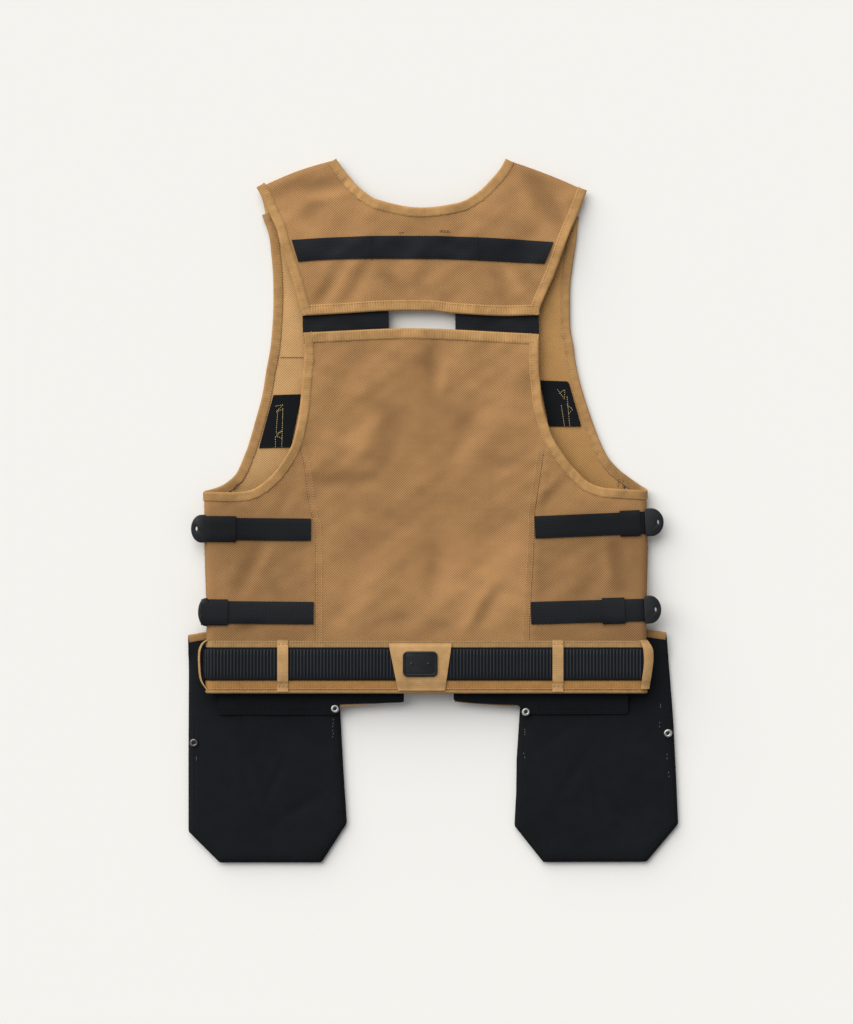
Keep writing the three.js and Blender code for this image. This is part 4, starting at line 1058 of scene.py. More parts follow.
def front_panels():
    """The fronts' inside, with the black facing along their hems and the black patches."""
    cloth = bpy.context.scene.vest_sizes.cloth
    drops = {"left": (-15.4, -10.4), "right": (-14.4, -10)}
    facings = {
        "left": ((-205, 17), (-205, -22), (-84.5, -22), (-84, -11.4), (-19.2, -9.5), (-18.4, 17)),
        "right": ((205, 17), (205, -21.2), (98, -21.2), (97, -12.2), (51, -10.2), (30.7, -8), (30.3, 17)),
    }
    patches = {
        "left": ((-150, 298.3), (-121.8, 299.2), (-132.7, 245.8), (-164.7, 245)),
        "right": ((117, 313), (145.8, 312), (158.7, 266.8), (126.2, 266.8)),
    }
    for side in ("left", "right"):
        armhole = line_of(FRONT_ARMHOLE[side])
        opening = line_of(FRONT_OPENING[side])
        side_drop, centre_drop = drops[side]
        fold = float(side_fold(sign(side), 0.0)) - LAYER_PITCH / 2 - 0.018
        armhole = armhole[np.abs(armhole[:, 0]) < fold]
        bare = smoothstep(armhole[:, 1], 475 * UNIT, 482 * UNIT) * (1 - smoothstep(armhole[:, 1], 492 * UNIT, 505 * UNIT))
        armhole[:, 0] -= sign(side) * 0.0035 * bare
        hem = flat([(sign(side) * 209, side_drop), (sign(side) * 84, side_drop), (sign(side) * 28, centre_drop)])
        hem[0][0] = sign(side) * fold
        outline = joined(
            armhole,
            spaced([armhole[-1], (sign(side) * fold, side_drop * UNIT)], 0.006),
            spaced([*hem, (opening[-1][0], centre_drop * UNIT)], 0.006),
            spaced([(opening[-1][0], centre_drop * UNIT), tuple(opening[-1])], 0.006),
            opening[::-1], line_of(SHOULDER[side]),
        )

        def surface(x, y, out):
            ripple = 0.0005 * np.sin(x * 61 + y * 23) * np.sin(y * 47 - x * 31)
            return laid(x, y, front_height(x, y) + ripple + out + shoulder_rounding(x, y))

        piece = cut(
            f"front_cloth_{side}", shrunk(outline, 0.0016), surface, cloth, materials()["lining"], "canvas",
            [f"front_{side}"], 0.006,
        )
        declare_cut(piece)

        facing = spaced(flat(facings[side] + facings[side][:1]), 0.006)[:-1]
        level = PANEL / 2 + CLEARANCE + 0.0007

        def facing_surface(x, y, out):
            return laid(x, y, facing_height(x, y) + out)

        piece = cut(
            f"facing_{side}", facing, facing_surface, 0.0012, materials()["heavy"], "black_canvas",
            [f"front_facing_{side}"], 0.005,
        )
        declare_cut(piece)

        patch = spaced(flat(patches[side] + patches[side][:1]), 0.004)[:-1]

        def patch_surface(x, y, out):
            return laid(x, y, front_height(x, y) + level + out)

        piece = cut(
            f"inner_patch_cloth_{side}", patch, patch_surface, 0.0011, materials()["heavy"], "black_canvas",
            [f"inner_patch_{side}"], 0.004,
        )
        declare_cut(piece)


def bindings():
    """Tape round the neck, the armholes, the slot's two edges and the hem."""
    sizes = bpy.context.scene.vest_sizes
    width, slot_width = sizes.binding, sizes.slot_tape
    edging("neck_tape", line_of(NECK, 0.002), width, -1, "tape", ["neck_binding"])
    for side in ("left", "right"):
        inward = -sign(side)
        edging(f"yoke_tape_{side}", line_of(YOKE_ARMHOLE[side], 0.002), width, inward, "tape", [f"yoke_binding_{side}"])
        edging(f"armhole_tape_{side}", armhole_round(side), width, inward, "tape", [f"armhole_binding_{side}"])
    edging("slot_tape_above", line_of(SLOT_TOP, 0.002), slot_width, 1, "tape", ["slot_tape_upper"], "slot_tape")
    edging("slot_tape_below", line_of(SLOT_BOTTOM, 0.002), slot_width, -1, "tape", ["slot_tape_lower"], "slot_tape")
    hem_x = [float(side_fold(s, 0.0)) * s for s in (-1, 1)]
    hem = spaced([(round_back(hem_x[0] * 0.999, 0.0), 0.0), (round_back(hem_x[1] * 0.999, 0.0), 0.0)], 0.004)
    edging("hem_tape", hem, 0.0045, 1, "tape", ["hem_binding"], "hem")


def webbings():
    """Webbing across the yoke, and the elastic behind the slot."""
    top = line_of(((-131.3, 453), (-93, 455.5), (-43, 457.2), (7, 457.2), (27, 456.7), (77, 454.7), (130.3, 451)))
    bottom = line_of(((-124.7, 431), (-101.3, 433), (-60, 434.3), (7, 434.3), (27, 433.8), (77, 431.7), (121.5, 429.3)))
    count = 80
    upper, lower = (spaced(line, np.linalg.norm(np.diff(line, axis=0), axis=1).sum() / (count - 1)) for line in (top, bottom))
    piece = strip("yoke_band", lower, upper, STRAP_IN + 0.0002, STRAP_OUT + 0.0002, "webbing", "webbing", ["yoke_webbing"])
    level = -TAPE_OUT - CLEARANCE - 0.0016
    ends = {"left": (-120.5, -34.2), "right": (32.3, 116)}
    for side in ("left", "right"):
        outer, inner = ends[side]
        line = spaced(flat([(outer, 371), (inner, 373)]), 0.004)
        piece = ribbon(f"elastic_{side}", line, 0.036, level - 0.0006, level + 0.0006, "elastic", "webbing",
                       [f"slot_elastic_{side}"], across=13)


def strap_line(name):
    """A strap's middle line from its inner end to the side fold."""
    side, inner, _, _, inner_up, outer_up = STRAPS[name]
    y = outer_up * UNIT
    end = float(round_back(sign(side) * 10, y))
    start = np.array([sign(side) * inner, inner_up]) * UNIT
    return side, start, np.array([end * 0.998, y])


def strap_parts():
    """The four side straps and their keepers."""
    for name, (side, inner, keeper, keeper_end, _, _) in STRAPS.items():
        _, start, end = strap_line(name)
        line = spaced([start, end], 0.003)
        piece = ribbon(
            f"strap_{name}", line, WEBBING, STRAP_IN + 0.0004, STRAP_OUT + 0.0004, "strap", "webbing",
            [f"side_strap_{name}"],
        )
        span = end - start
        round_side = [float(round_back(value * UNIT * sign(side), end[1])) for value in (keeper, keeper_end)]
        along = [(distance - start[0]) / span[0] for distance in round_side]
        ends = [start + span * min(part, 1.0) for part in along]
        loop = spaced(ends, 0.003)
        width = WEBBING + 2 * 0.0023
        if name == "lower_left":
            loop = spaced([ends[0], (-221.3 * UNIT, end[1])], 0.003)
            keeper_loop(f"keeper_{name}", loop, width, [f"strap_keeper_{name}"], level_past_fold, 0.0037)
        else:
            keeper_loop(f"keeper_{name}", loop, width, [f"strap_keeper_{name}"])


def level_past_fold(x, y, out):
    """Points on the back that keep their level where the side turns under."""
    inner = np.minimum(np.abs(x), side_fold(x, y) - LAYER_PITCH / 2)
    return laid(x, y, back_height(np.sign(x) * inner, y) + out)


def keeper_loop(name, line, width, nodes, surface=place, lowest=0.0):
    """A flat loop of webbing round a strap, its edges turned down beside it."""
    normal = normals(line)
    run = np.concatenate([[0], np.cumsum(np.linalg.norm(np.diff(line, axis=0), axis=1))])
    half = width / 2
    section = [(-half, 0.0013), (-half, 0.0034), (-half + 0.0005, 0.0043), (-half + 0.0016, 0.0049), (-half * 0.4, 0.0052),
               (0, 0.0053), (half * 0.4, 0.0052), (half - 0.0016, 0.0049), (half - 0.0005, 0.0043), (half, 0.0034),
               (half, 0.0013), (half - 0.0012, 0.0013), (half - 0.0014, 0.0035), (half * 0.4, 0.0039), (0, 0.0039),
               (-half * 0.4, 0.0039), (-half + 0.0014, 0.0035), (-half + 0.0012, 0.0013)]
    rings, coordinates = [], []
    for w, out in section:
        at = line + normal * w
        rings.append(surface(at[:, 0], at[:, 1], max(out, lowest)))
        coordinates.append(np.stack([run, np.full(len(run), w)], -1))
    return tube(name, np.stack(rings, 1), materials()["strap"], "webbing", nodes, np.stack(coordinates, 1))


def flat_curve(name, outlines, bottom, thick, bevel, material, slot, nodes):
    """A plate with rounded edges from closed outlines; the second one is a hole."""
    data = bpy.data.curves.new(name, "CURVE")
    data.dimensions, data.fill_mode = "2D", "BOTH"
    data.extrude, data.bevel_depth, data.bevel_resolution = thick / 2 - bevel, bevel, 2
    for outline in outlines:
        spline = data.splines.new("POLY")
        spline.points.add(len(outline) - 1)
        for point, (x, y) in zip(spline.points, outline):
            point.co = (x, y, 0, 1)
        spline.use_cyclic_u = True
    carrier = bpy.data.objects.new(name + "_outline", data)
    bpy.context.scene.collection.objects.link(carrier)
    bpy.context.view_layer.update()
    mesh = bpy.data.meshes.new_from_object(carrier.evaluated_get(bpy.context.evaluated_depsgraph_get()))
    bpy.data.objects.remove(carrier)
    for vertex in mesh.vertices:
        vertex.co.x += CENTRE_BACK[0]
        vertex.co.y += CENTRE_BACK[1]
        vertex.co.z += bottom + thick / 2
    shape = bmesh.new()
    shape.from_mesh(mesh)
    bmesh.ops.remove_doubles(shape, verts=shape.verts, dist=1e-6)
    shape.to_mesh(mesh)
    shape.free()
    return finished(name, mesh, material, slot, nodes, 35)


def buckles():
    """Flat D-shaped buckles with a slot, at the outer ends of the straps."""
    for name, reach in BUCKLE_REACH.items():
        side, start, end = strap_line(name)
        y = end[1]
        edge = float(side_fold(sign(side), y)) * sign(side)
        along = end - start
        along /= np.linalg.norm(along)
        upright = np.array([-along[1], along[0]]) * sign(side)
        origin = np.array([edge - sign(side) * 0.002, y])
        half = WEBBING / 2 + 0.003
        tip, straight = reach + 0.002, reach * 0.35

        def at(out, up):
            return origin + along * out + upright * up

        arc = [at(straight + (tip - straight) * math.cos(a), half * math.sin(a)) for a in np.linspace(-math.pi / 2, math.pi / 2, 25)]
        corner = 0.0016
        outline = [at(0.0003 + corner, -half), *arc[1:-1], at(0.0003 + corner, half), at(0.0003, half - corner), at(0.0003, -half + corner)]
        hole = [at(tip - 0.0065 + 0.002 * math.cos(a), 0.0035 * math.sin(a)) for a in np.linspace(0, math.tau, 20, endpoint=False)]
        bottom = float(place(end[0], y)[2]) + LAYER_PITCH / 2 + 0.0003
        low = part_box(f"strap_buckle_{name}")[0].z
        flat_curve(f"buckle_{name}", [outline, hole], low, 0.003, 0.0008, materials()["plastic"], "plastic",
                   [f"strap_buckle_{name}"])


def belt_ends():
    clasp = 0.00746
    left = float(round_front(clasp - 0.0253, 0.0385))
    right = float(round_front(clasp + 0.0253, 0.0385))
    return left, right


def waist():
    """The waistband, and the belt with its raised ribs."""
    sizes = bpy.context.scene.vest_sizes
    level = (WAISTBAND_BOTTOM + WAISTBAND_TOP) / 2
    left = float(round_front(-0.0247, level))
    right = float(round_front(0.0396, level))
    band = spaced([(left, level), (right, level)], 0.003)
    piece = ribbon("waist_tape", band, WAISTBAND_TOP - WAISTBAND_BOTTOM, 0.0012, 0.0025, "waist", "tape", ["waistband"],
                   across=13, crown=0)
    left, right = belt_ends()
    middle = (BELT_BOTTOM + BELT_TOP) / 2
    line = spaced([(left, middle), (right, middle)], 0.003)
    piece = ribbon("belt_body", line, BELT_TOP - BELT_BOTTOM, BELT_IN, BELT_OUT - 0.0004, "belting", "belting", ["belt"],
                   across=15, crown=0.0001)
    seat = place(line[:, 0], line[:, 1], BELT_OUT - 0.0007)
    above = place(line[:, 0], line[:, 1], BELT_OUT + 0.0003)
    up = (above - seat) / np.linalg.norm(above - seat, axis=1, keepdims=True)
    rib = rib_shape(sizes.rib_pitch * 0.56, BELT_TOP - BELT_BOTTOM - 0.005, sizes.rib_height)
    repeated("belt_ribs", [(seat, up)], rib, sizes.rib_pitch, materials()["rib"], "belting")


def rib_shape(width, length, height):
    """One rib across the belt, a low rounded bar."""
    stations = ((-0.5, 0.4, 0.5), (-0.485, 0.9, 0.9), (-0.25, 1, 1), (0, 1, 1), (0.25, 1, 1), (0.485, 0.9, 0.9), (0.5, 0.4, 0.5))
    points = []
    for along, wide, tall in stations:
        for k in range(8):
            angle = math.tau * k / 8
            points.append((wide * width / 2 * math.cos(angle), along * length, tall * height * math.sin(angle)))
    faces = quads(len(stations), 8, ring=True)
    faces += [tuple(range(8)), tuple(range(len(points) - 8, len(points)))]
    return small_shape("rib", points, faces)


def bridge_profile(bottom, top, ease=1.0):
    """Levels of a tape that comes up over the belt and down on both sides of it."""
    below = (0.0045, 0.003, 0.0015, 0.0004)
    ys = [bottom, bottom + 0.001, *(BELT_BOTTOM - ease * y for y in below)]
    outs = [BELT_IN + 0.0002, BELT_IN, BELT_IN + 0.0001, BELT_IN + 0.0008, BELT_IN + 0.002, LOOP_IN - 0.0001]
    mirrored = [BELT_TOP + y for y in below[::-1]]
    ys = ys + [0.03, 0.0385, 0.047] + mirrored + [top - 0.001, top]
    outs = outs + [LOOP_IN + 0.0003, LOOP_IN + 0.0004, LOOP_IN + 0.0003] + outs[2:][::-1] + [BELT_IN, BELT_IN + 0.0002]
    return ys, outs


def loop_tape(name, centre, nodes, width=0.014):
    """A belt loop of ribbed tape."""
    ys, outs = bridge_profile(0.0025, WAISTBAND_TOP + 0.0012)
    widths = np.linspace(-0.5, 0.5, 7)
    lows, highs, uvs = [], [], []
    for y, out in zip(ys, outs):
        s = centre + widths * width
        rim = 0.0003 * np.abs(widths * 2) ** 8
        lows.append(place(s, np.full(7, y), out + rim))
        highs.append(place(s, np.full(7, y), out + 0.0012 - rim))
        uvs.append(np.stack([np.full(7, y), widths * width], -1))
    uv = np.array(uvs)
    return slab(name, np.array(lows), np.array(highs), materials()["loop"], "tape", nodes, uv)


def loops():
    """Four belt loops and the patch on the middle of the belt."""
    for name, s in (("inner_left", -139.8 * UNIT), ("inner_right", 134.4 * UNIT)):
        loop_tape(f"loop_{name}", s, [f"belt_loop_{name}"])
    side_loops()
    top, bottom = BELT_TOP + 0.006, BELT_BOTTOM - 0.013
    ys, outs = bridge_profile(bottom, top, 2.3)
    widths = np.linspace(0, 1, 25)
    lows, highs, uvs = [], [], []
    for y, out in zip(ys, outs):
        part = (y - bottom) / (top - bottom)
        low, high = blend(-0.0324, -0.0448, part), blend(0.0284, 0.0373, part)
        x = low + (high - low) * widths
        rim = 0.0004 * np.abs(widths * 2 - 1) ** 20
        lows.append(place(x, np.full(25, y), out + rim))
        highs.append(place(x, np.full(25, y), out + 0.0013 - rim))
        uvs.append(np.stack([np.full(25, y), x], -1))
    piece = slab("belt_patch", np.array(lows), np.array(highs), materials()["loop"], "tape", ["centre_patch"], np.array(uvs))


def side_loops():
    """The loops at the belt's turns: the left one stands on edge and the right one lies over."""
    tape, thick = materials()["loop"], 0.0012
    ys, outs = bridge_profile(0.0025, WAISTBAND_TOP + 0.0012)
    rows = flat(((53.5, 223.8, 215.7), (49, 227, 218), (44, 229.2, 219.4), (39, 229.7, 220), (33, 229.6, 220.2),
                 (27, 229, 219.9), (22, 228.3, 219.2), (17, 227.6, 218.5), (12, 226.7, 217.8), (4.5, 225.6, 217)))
    rows = smooth(rows, 0.003)
    share = np.linspace(0, 1, 9)
    lows, highs, uvs = [], [], []
    for y, outer, inner in rows:
        top = float(back_height(side_fold(1, y) - LAYER_PITCH / 2, y)) + float(np.interp(y, ys, outs))
        x = inner + (outer - inner) * share
        z = top - 0.004 * share**2
        lows.append(laid(x, y, z))
        highs.append(laid(x, y, z + thick))
        uvs.append(np.stack([np.full(9, y), x], -1))
    slab("loop_side_right", np.array(lows), np.array(highs), tape, "tape", ["belt_loop_side_right"], np.array(uvs))
    rows = flat(((53.3, 216.6), (51.6, 219.6), (48.6, 222.4), (44, 224.3), (39.7, 225), (33, 225.1), (26.3, 224.8),
                 (20, 224.4), (15, 223.6), (11, 222.2), (8, 220.4), (5.5, 218.6), (3.4, 216.9)))
    rows = smooth(rows, 0.003)
    lows, highs, uvs = [], [], []
    for y, x in rows:
        middle = -(side_fold(-1, y) - LAYER_PITCH / 2)
        level = float(back_height(middle, y) + front_height(middle, y)) / 2
        z = level + 0.0085 - 0.014 * share
        lean = 0.0022 * (1 - share)
        lows.append(laid(-x + lean + thick, y, z))
        highs.append(laid(-x + lean, y, z))
        uvs.append(np.stack([np.full(9, y), z], -1))
    slab("loop_side_left", np.array(lows), np.array(highs), tape, "tape", ["belt_loop_side_left"], np.array(uvs))


def rounded_outline(x, y, width, height, corner, steps=8):
    points = []
    for cx, cy, start in ((1, 1, 0), (-1, 1, 90), (-1, -1, 180), (1, -1, 270)):
        for k in range(steps + 1):
            a = math.radians(start + 90 * k / steps)
            points.append((x + cx * (width / 2 - corner) + corner * math.cos(a),
                           y + cy * (height / 2 - corner) + corner * math.sin(a)))
    return points


def badge():
    """A plain raised badge on the patch: a plate, a rim and two pins."""
    low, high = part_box("badge")
    x, y = (low.x + high.x) / 2 - CENTRE_BACK[0], (low.y + high.y) / 2 - CENTRE_BACK[1]
    width, height, thick = high.x - low.x, high.y - low.y, high.z - low.z
    outer = rounded_outline(x, y, width, height, 0.006)
    inner = rounded_outline(x, y, width - 0.0048, height - 0.0048, 0.0038)
    plastic = materials()["plastic"]
    flat_curve("badge_rim", [outer, inner], low.z, thick, 0.0005, plastic, "plastic", ["badge"])
    flat_curve("badge_plate", [rounded_outline(x, y, width - 0.005, height - 0.005, 0.0036)], low.z, 0.0016, 0.0002,
               plastic, "plastic", ["badge"])
    pin = dome_shape("pin", 0.0022, 0.0011)
    seats = [np.array([(x + k * width / 4 + CENTRE_BACK[0], y + CENTRE_BACK[1], low.z + 0.0014),
                       (x + k * width / 4 + CENTRE_BACK[0] + 0.0001, y + CENTRE_BACK[1], low.z + 0.0014)]) for k in (-1, 1)]
    repeated("badge_pins", [(seat, (0, 0, 1)) for seat in seats], pin, 1.0, plastic, "plastic")


DOME = ((1, 0), (1, 0.3), (0.93, 0.5), (0.78, 0.72), (0.55, 0.9), (0.36, 0.97), (0.24, 0.93), (0.1, 0.8))


def dome_shape(name, radius, height, sides=16, profile=DOME):
    """A low round head, from its rim to its middle."""
    points = [(radius * r * math.cos(math.tau * k / sides), radius * r * math.sin(math.tau * k / sides), height * h)
              for r, h in profile for k in range(sides)]
    faces = quads(len(profile), sides, ring=True)
    faces += [tuple(range(sides)), tuple(range(len(points) - sides, len(points)))]
    return small_shape(name, points, faces)


def rivets():
    """The rivets of the holsters, on the facing and on the outer edges."""
    profile = ((1, 0), (1, 0.35), (0.94, 0.6), (0.82, 0.88), (0.66, 1), (0.5, 0.9), (0.4, 0.6), (0.34, 0.2))
    head = dome_shape("rivet", 0.0055, 0.0026, 24, profile)
    eye = dome_shape("eye", 0.0021, 0.0009)
    for name in ("rivet_inner_left", "rivet_outer_left", "rivet_inner_right", "rivet_outer_right"):
        low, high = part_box(name)
        x, y = (low.x + high.x) / 2, (low.y + high.y) / 2
        seat = np.array([(x, y, low.z), (x + 0.0001, y, low.z)])
        repeated(name.replace("rivet", "rivet_head"), [(seat, (0, 0.1 if "inner" in name else 0, 1))], head, 1.0,
                 materials()["dull_steel" if name == "rivet_outer_left" else "steel"], "steel", [name])
        repeated(name.replace("rivet", "rivet_eye"), [(seat + (0, 0, 0.0004), (0, 0, 1))], eye, 1.0,
                 materials()["plastic"], "plastic")


def holster_surface(outline, upper):
    """A pouch wall: flat in the middle, and curving to its sewn edge."""
    closed = np.vstack([outline, outline[:1]])
    side = -1 if outline[:, 0].mean() < 0 else 1

    def surface(x, y, out):
        points = np.stack([x, y], -1)
        edge = np.minimum(distance_to(points, closed), 0.03)
        mouth = 57.7 * UNIT - y
        edge = np.where(mouth < 0.03, np.maximum(edge, np.minimum(0.03, 0.03 - mouth)), edge)
        rise = (1 - np.exp(-(edge / 0.0035)))
        crease = 2.2 * folded(x, y, HOLSTER_FOLDS["left" if side < 0 else "right"]) * smoothstep(edge, 0.002, 0.02)
        if upper:
            groove = 0.0006 * np.exp(-((edge - 0.007) / 0.0012) ** 2)
            swell = 0.0004 * np.sin(x * 70 + 1) * np.sin(y * 52)
            return laid(x, y, 0.0058 + 0.0052 * rise + crease + swell * smoothstep(edge, 0.004, 0.03) - groove + out)
        return laid(x, y, 0.0048 - 0.0040 * rise + out)

    return surface


HOLSTER_FOLDS = {
    "left": (
        (-0.202, -0.125, 0.030, 0.006, 115, -0.0009), (-0.190, -0.110, 0.030, 0.006, 68, -0.0007),
        (-0.160, -0.150, 0.040, 0.008, 30, -0.0007), (-0.240, -0.090, 0.040, 0.008, 95, 0.0006),
        (-0.150, -0.060, 0.040, 0.008, 150, -0.0006),
    ),
    "right": (
        (0.226, -0.125, 0.034, 0.007, 108, -0.0008), (0.200, -0.100, 0.034, 0.007, 60, -0.0007),
        (0.260, -0.160, 0.040, 0.008, 140, -0.0007), (0.170, -0.060, 0.040, 0.008, 35, -0.0006),
    ),
}


def holsters():
    """The two pouches that hang below the hem, with their taped mouths."""
    for side in ("left", "right"):
        outline = spaced(np.vstack([flat(HOLSTERS[side]), flat(HOLSTERS[side])[:1]]), 0.004)[:-1]
        heavy = materials()["heavy"]
        for wall, upper in (("back", True), ("front", False)):
            surface = holster_surface(outline, upper)
            nodes = [f"holster_{side}"]
            piece = cut(f"holster_{wall}_{side}", outline if upper else shrunk(outline, 0.0006), surface, 0.0014, heavy,
                        "black_canvas", nodes, 0.0042)
            declare_cut(piece)
        points = flat(HOLSTERS[side])
        mouth = np.array([points[0], points[-1], points[-2]])[:: -sign(side)]
        line = spaced(mouth, 0.004) + (0, 0.0014)

        def lip(x, y_at, out, *_):
            return laid(x, y_at, 0.0110 + out)

        edging(f"holster_tape_{side}", line, 0.0100, -1, "tape", [f"holster_binding_{side}"], half=0.0021, surface=lip)


def stitching():
    """Every visible row of stitches."""
    sizes = bpy.context.scene.vest_sizes
    stitch = stitch_shape(sizes.stitch, sizes.thread, sizes.thread * 0.55)
    pitch = sizes.stitch_pitch
    tan, gold, black, seams = [], [], [], []
    inset = sizes.binding - 0.0018
    on_tape = TAPE_OUT - 0.0005
    tan.append(seam_line(moved(line_of(NECK, 0.003), -inset), on_tape, 0.0001))
    for side in ("left", "right"):
        inward = -sign(side)
        tan.append(seam_line(moved(line_of(YOKE_ARMHOLE[side], 0.003), inward * inset), on_tape, 0.0001))
        armhole = armhole_round(side)
        tan.append(seam_line(moved(armhole, inward * inset), on_tape, 0.0001))
        half = LAYER_PITCH / 2
        front = armhole[np.abs(armhole[:, 0]) > 0.29]
        inside_face = moved(front, inward * inset)
        tan.append(seam_line(inside_face, -on_tape, -0.0001))
        tan[-1] = (tan[-1][0], -tan[-1][1])
        seam = line_of(PRINCESS_SEAM[side])
        seam = seam[(seam[:, 1] > WAISTBAND_TOP) & (seam[:, 1] < 0.31)]
        for offset in (0.0012, 0.0078):
            row = seam - (sign(side) * offset, 0)
            tan.append(seam_line(row, PANEL / 2, 0.0004))
        # A dark line along the princess seam: painted shadow of the seam's fold.
        seams.append(seam_line(seam, 0.0007))
    for line, inward in ((SLOT_TOP, 1), (SLOT_BOTTOM, -1)):
        base = line_of(line, 0.003)
        for offset in (0.0022, sizes.slot_tape - 0.0018):
            tan.append(seam_line(moved(base, inward * offset), on_tape + 0.0001, 0.0001))
    left, right = -0.27, 0.275
    for y in (WAISTBAND_TOP - 0.0012, WAISTBAND_BOTTOM + 0.0014):
        tan.append(seam_line([(left, y), (right, y)], 0.0025, 0.0001))
    for level in (BELT_TOP + 0.0035, 0.0095):
        for x in (-139.8 * UNIT, 134.4 * UNIT):
            tan.append(seam_line([(x - 0.005, level), (x + 0.005, level)], 0.0042, 0.0003))
            tan.append(seam_line([(x - 0.005, level + 0.0012), (x + 0.005, level + 0.0012)], 0.0042, 0.0003))
    repeated("tan_stitches", tan, stitch, pitch, materials()["thread"], "tape", unevenness=0.08)

    # Painted shadow: thin dark brown dashes along the princess seams.
    repeated("seam_lines", seams, stitch_shape(0.0042, 0.0009, 0.0003), 0.0034, materials()["brown"], "canvas")

    for side in ("left", "right"):
        outline = spaced(np.vstack([flat(HOLSTERS[side]), flat(HOLSTERS[side])[:1]]), 0.004)[:-1]
        surface = holster_surface(outline, True)
        edge_line = shrunk(outline, 0.006)
        edge_line = edge_line[edge_line[:, 1] < -0.028]
        start = int(np.argmax(np.linalg.norm(edge_line - np.roll(edge_line, 1, 0), axis=1)))
        edge_line = spaced(np.roll(edge_line, -start, 0), 0.003)
        black.append((surface(edge_line[:, 0], edge_line[:, 1], 0.0009), (0, 0, 1)))
        outer = {"left": -203, "right": 203}[side]
        for level in (-19, -20.9):
            row = spaced(flat([(outer, level), (sign(side) * 101, level)]), 0.003)
            black.append((laid(row[:, 0], row[:, 1], facing_height(row[:, 0], row[:, 1]) + 0.0008), (0, 0, 1)))
        for x in {"left": (-159.5, -157, -103), "right": (115, 177, 179.5)}[side]:
            row = spaced(flat([(x, -1), (x, -19)]), 0.003)
            black.append((laid(row[:, 0], row[:, 1], facing_height(row[:, 0], row[:, 1]) + 0.0008), (0, 0, 1)))
    for x in (-51.3, 55):
        black.append(seam_line(flat([(x, 433.8), (x - 0.3, 455.8)]), STRAP_OUT + 0.0003, 0.0003))
    repeated("black_stitches", black, stitch, pitch, materials()["dark_thread"], "black_canvas", unevenness=0.08)

    brown = [seam_line(flat(points), PANEL / 2, 0.0004) for points in (
        ((-22.9, 460.3), (-20.2, 460.7)), ((17, 461.4), (26.5, 461)), ((18.5, 462.6), (24.5, 462.2)))]
    for points in (((-142, 336), (-121, 336)),):
        line = spaced(flat(points), 0.003)
        brown.append((laid(line[:, 0], line[:, 1], front_height(line[:, 0], line[:, 1]) + PANEL / 2 + 0.0004), (0, 0, 1)))
    for points in (((151.5, 476.3), (155.2, 476.6)), ((146, 462.5), (150.2, 462.8)), ((-192, 202.5), (-186.5, 209)),
                   ((-189.5, 203.5), (-184, 210)), ((195.5, 207), (196, 213.5)), ((200, 206.5), (200.5, 212))):
        line = spaced(flat(points), 0.002)
        brown.append((laid(line[:, 0], line[:, 1], front_height(line[:, 0], line[:, 1]) + 0.0032), (0, 0, 1)))
    repeated("brown_stitches", brown, stitch, 0.0027, materials()["brown"], "tape", unevenness=0.1)

    pale = []
    marks = (
        ((-90, -27), (-90, -31)), ((-90.5, -34), (-90.5, -38)), ((-90, -41), (-90.5, -44)), ((-227, -65), (-227, -67)),
        ((102, -37), (102, -42)), ((101, -61), (102, -65)), ((244.5, -62), (244.5, -66)), ((246, -80), (246.5, -84)),
        ((238, -12), (238, -14)), ((237, -30), (237, -34)),
    )
    for points in marks:
        side = "left" if points[0][0] < 0 else "right"
        outline = spaced(np.vstack([flat(HOLSTERS[side]), flat(HOLSTERS[side])[:1]]), 0.004)[:-1]
        line = spaced(flat(points), 0.0015)
        pale.append((holster_surface(outline, True)(line[:, 0], line[:, 1], 0.0009), (0, 0, 1)))
    repeated("pale_stitches", pale, stitch, 0.0029, materials()["pale"], "black_canvas", unevenness=0.2)

    zigzags = (
        ((-147.2, 287.2), (-140.2, 288.6), (-147.2, 281.3), (-140.8, 284)), ((-145.8, 280.2), (-147.2, 261.3)),
        ((-146.3, 260), (-140.8, 262.7), (-147.2, 257.2), (-142, 255)), ((-148, 256), (-148, 246.6)),
        ((-140.5, 284.5), (-141.6, 247)), ((135, 303.6), (142, 294), (142, 304), (137, 300)),
        ((144.5, 296), (147, 268)), ((138.7, 287.4), (141.7, 268)), ((145, 288), (150, 284), (146.5, 280)),
    )
    for points in zigzags:
        line = spaced(flat(points), 0.0015)
        height = front_height(line[:, 0], line[:, 1]) + PANEL / 2 + CLEARANCE + 0.0014
        gold.append((laid(line[:, 0], line[:, 1], height), (0, 0, 1)))
    repeated("gold_stitches", gold, stitch_shape(0.0020, 0.0007, 0.0005), 0.0027, materials()["gold"], "tape", unevenness=0.15)


def clasp():
    """The belt's clasp keeps its CAD shape and gets a moulded finish."""
    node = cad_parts["belt_clasp"]
    node.data.materials.clear()
    node.data.materials.append(materials()["plastic"])


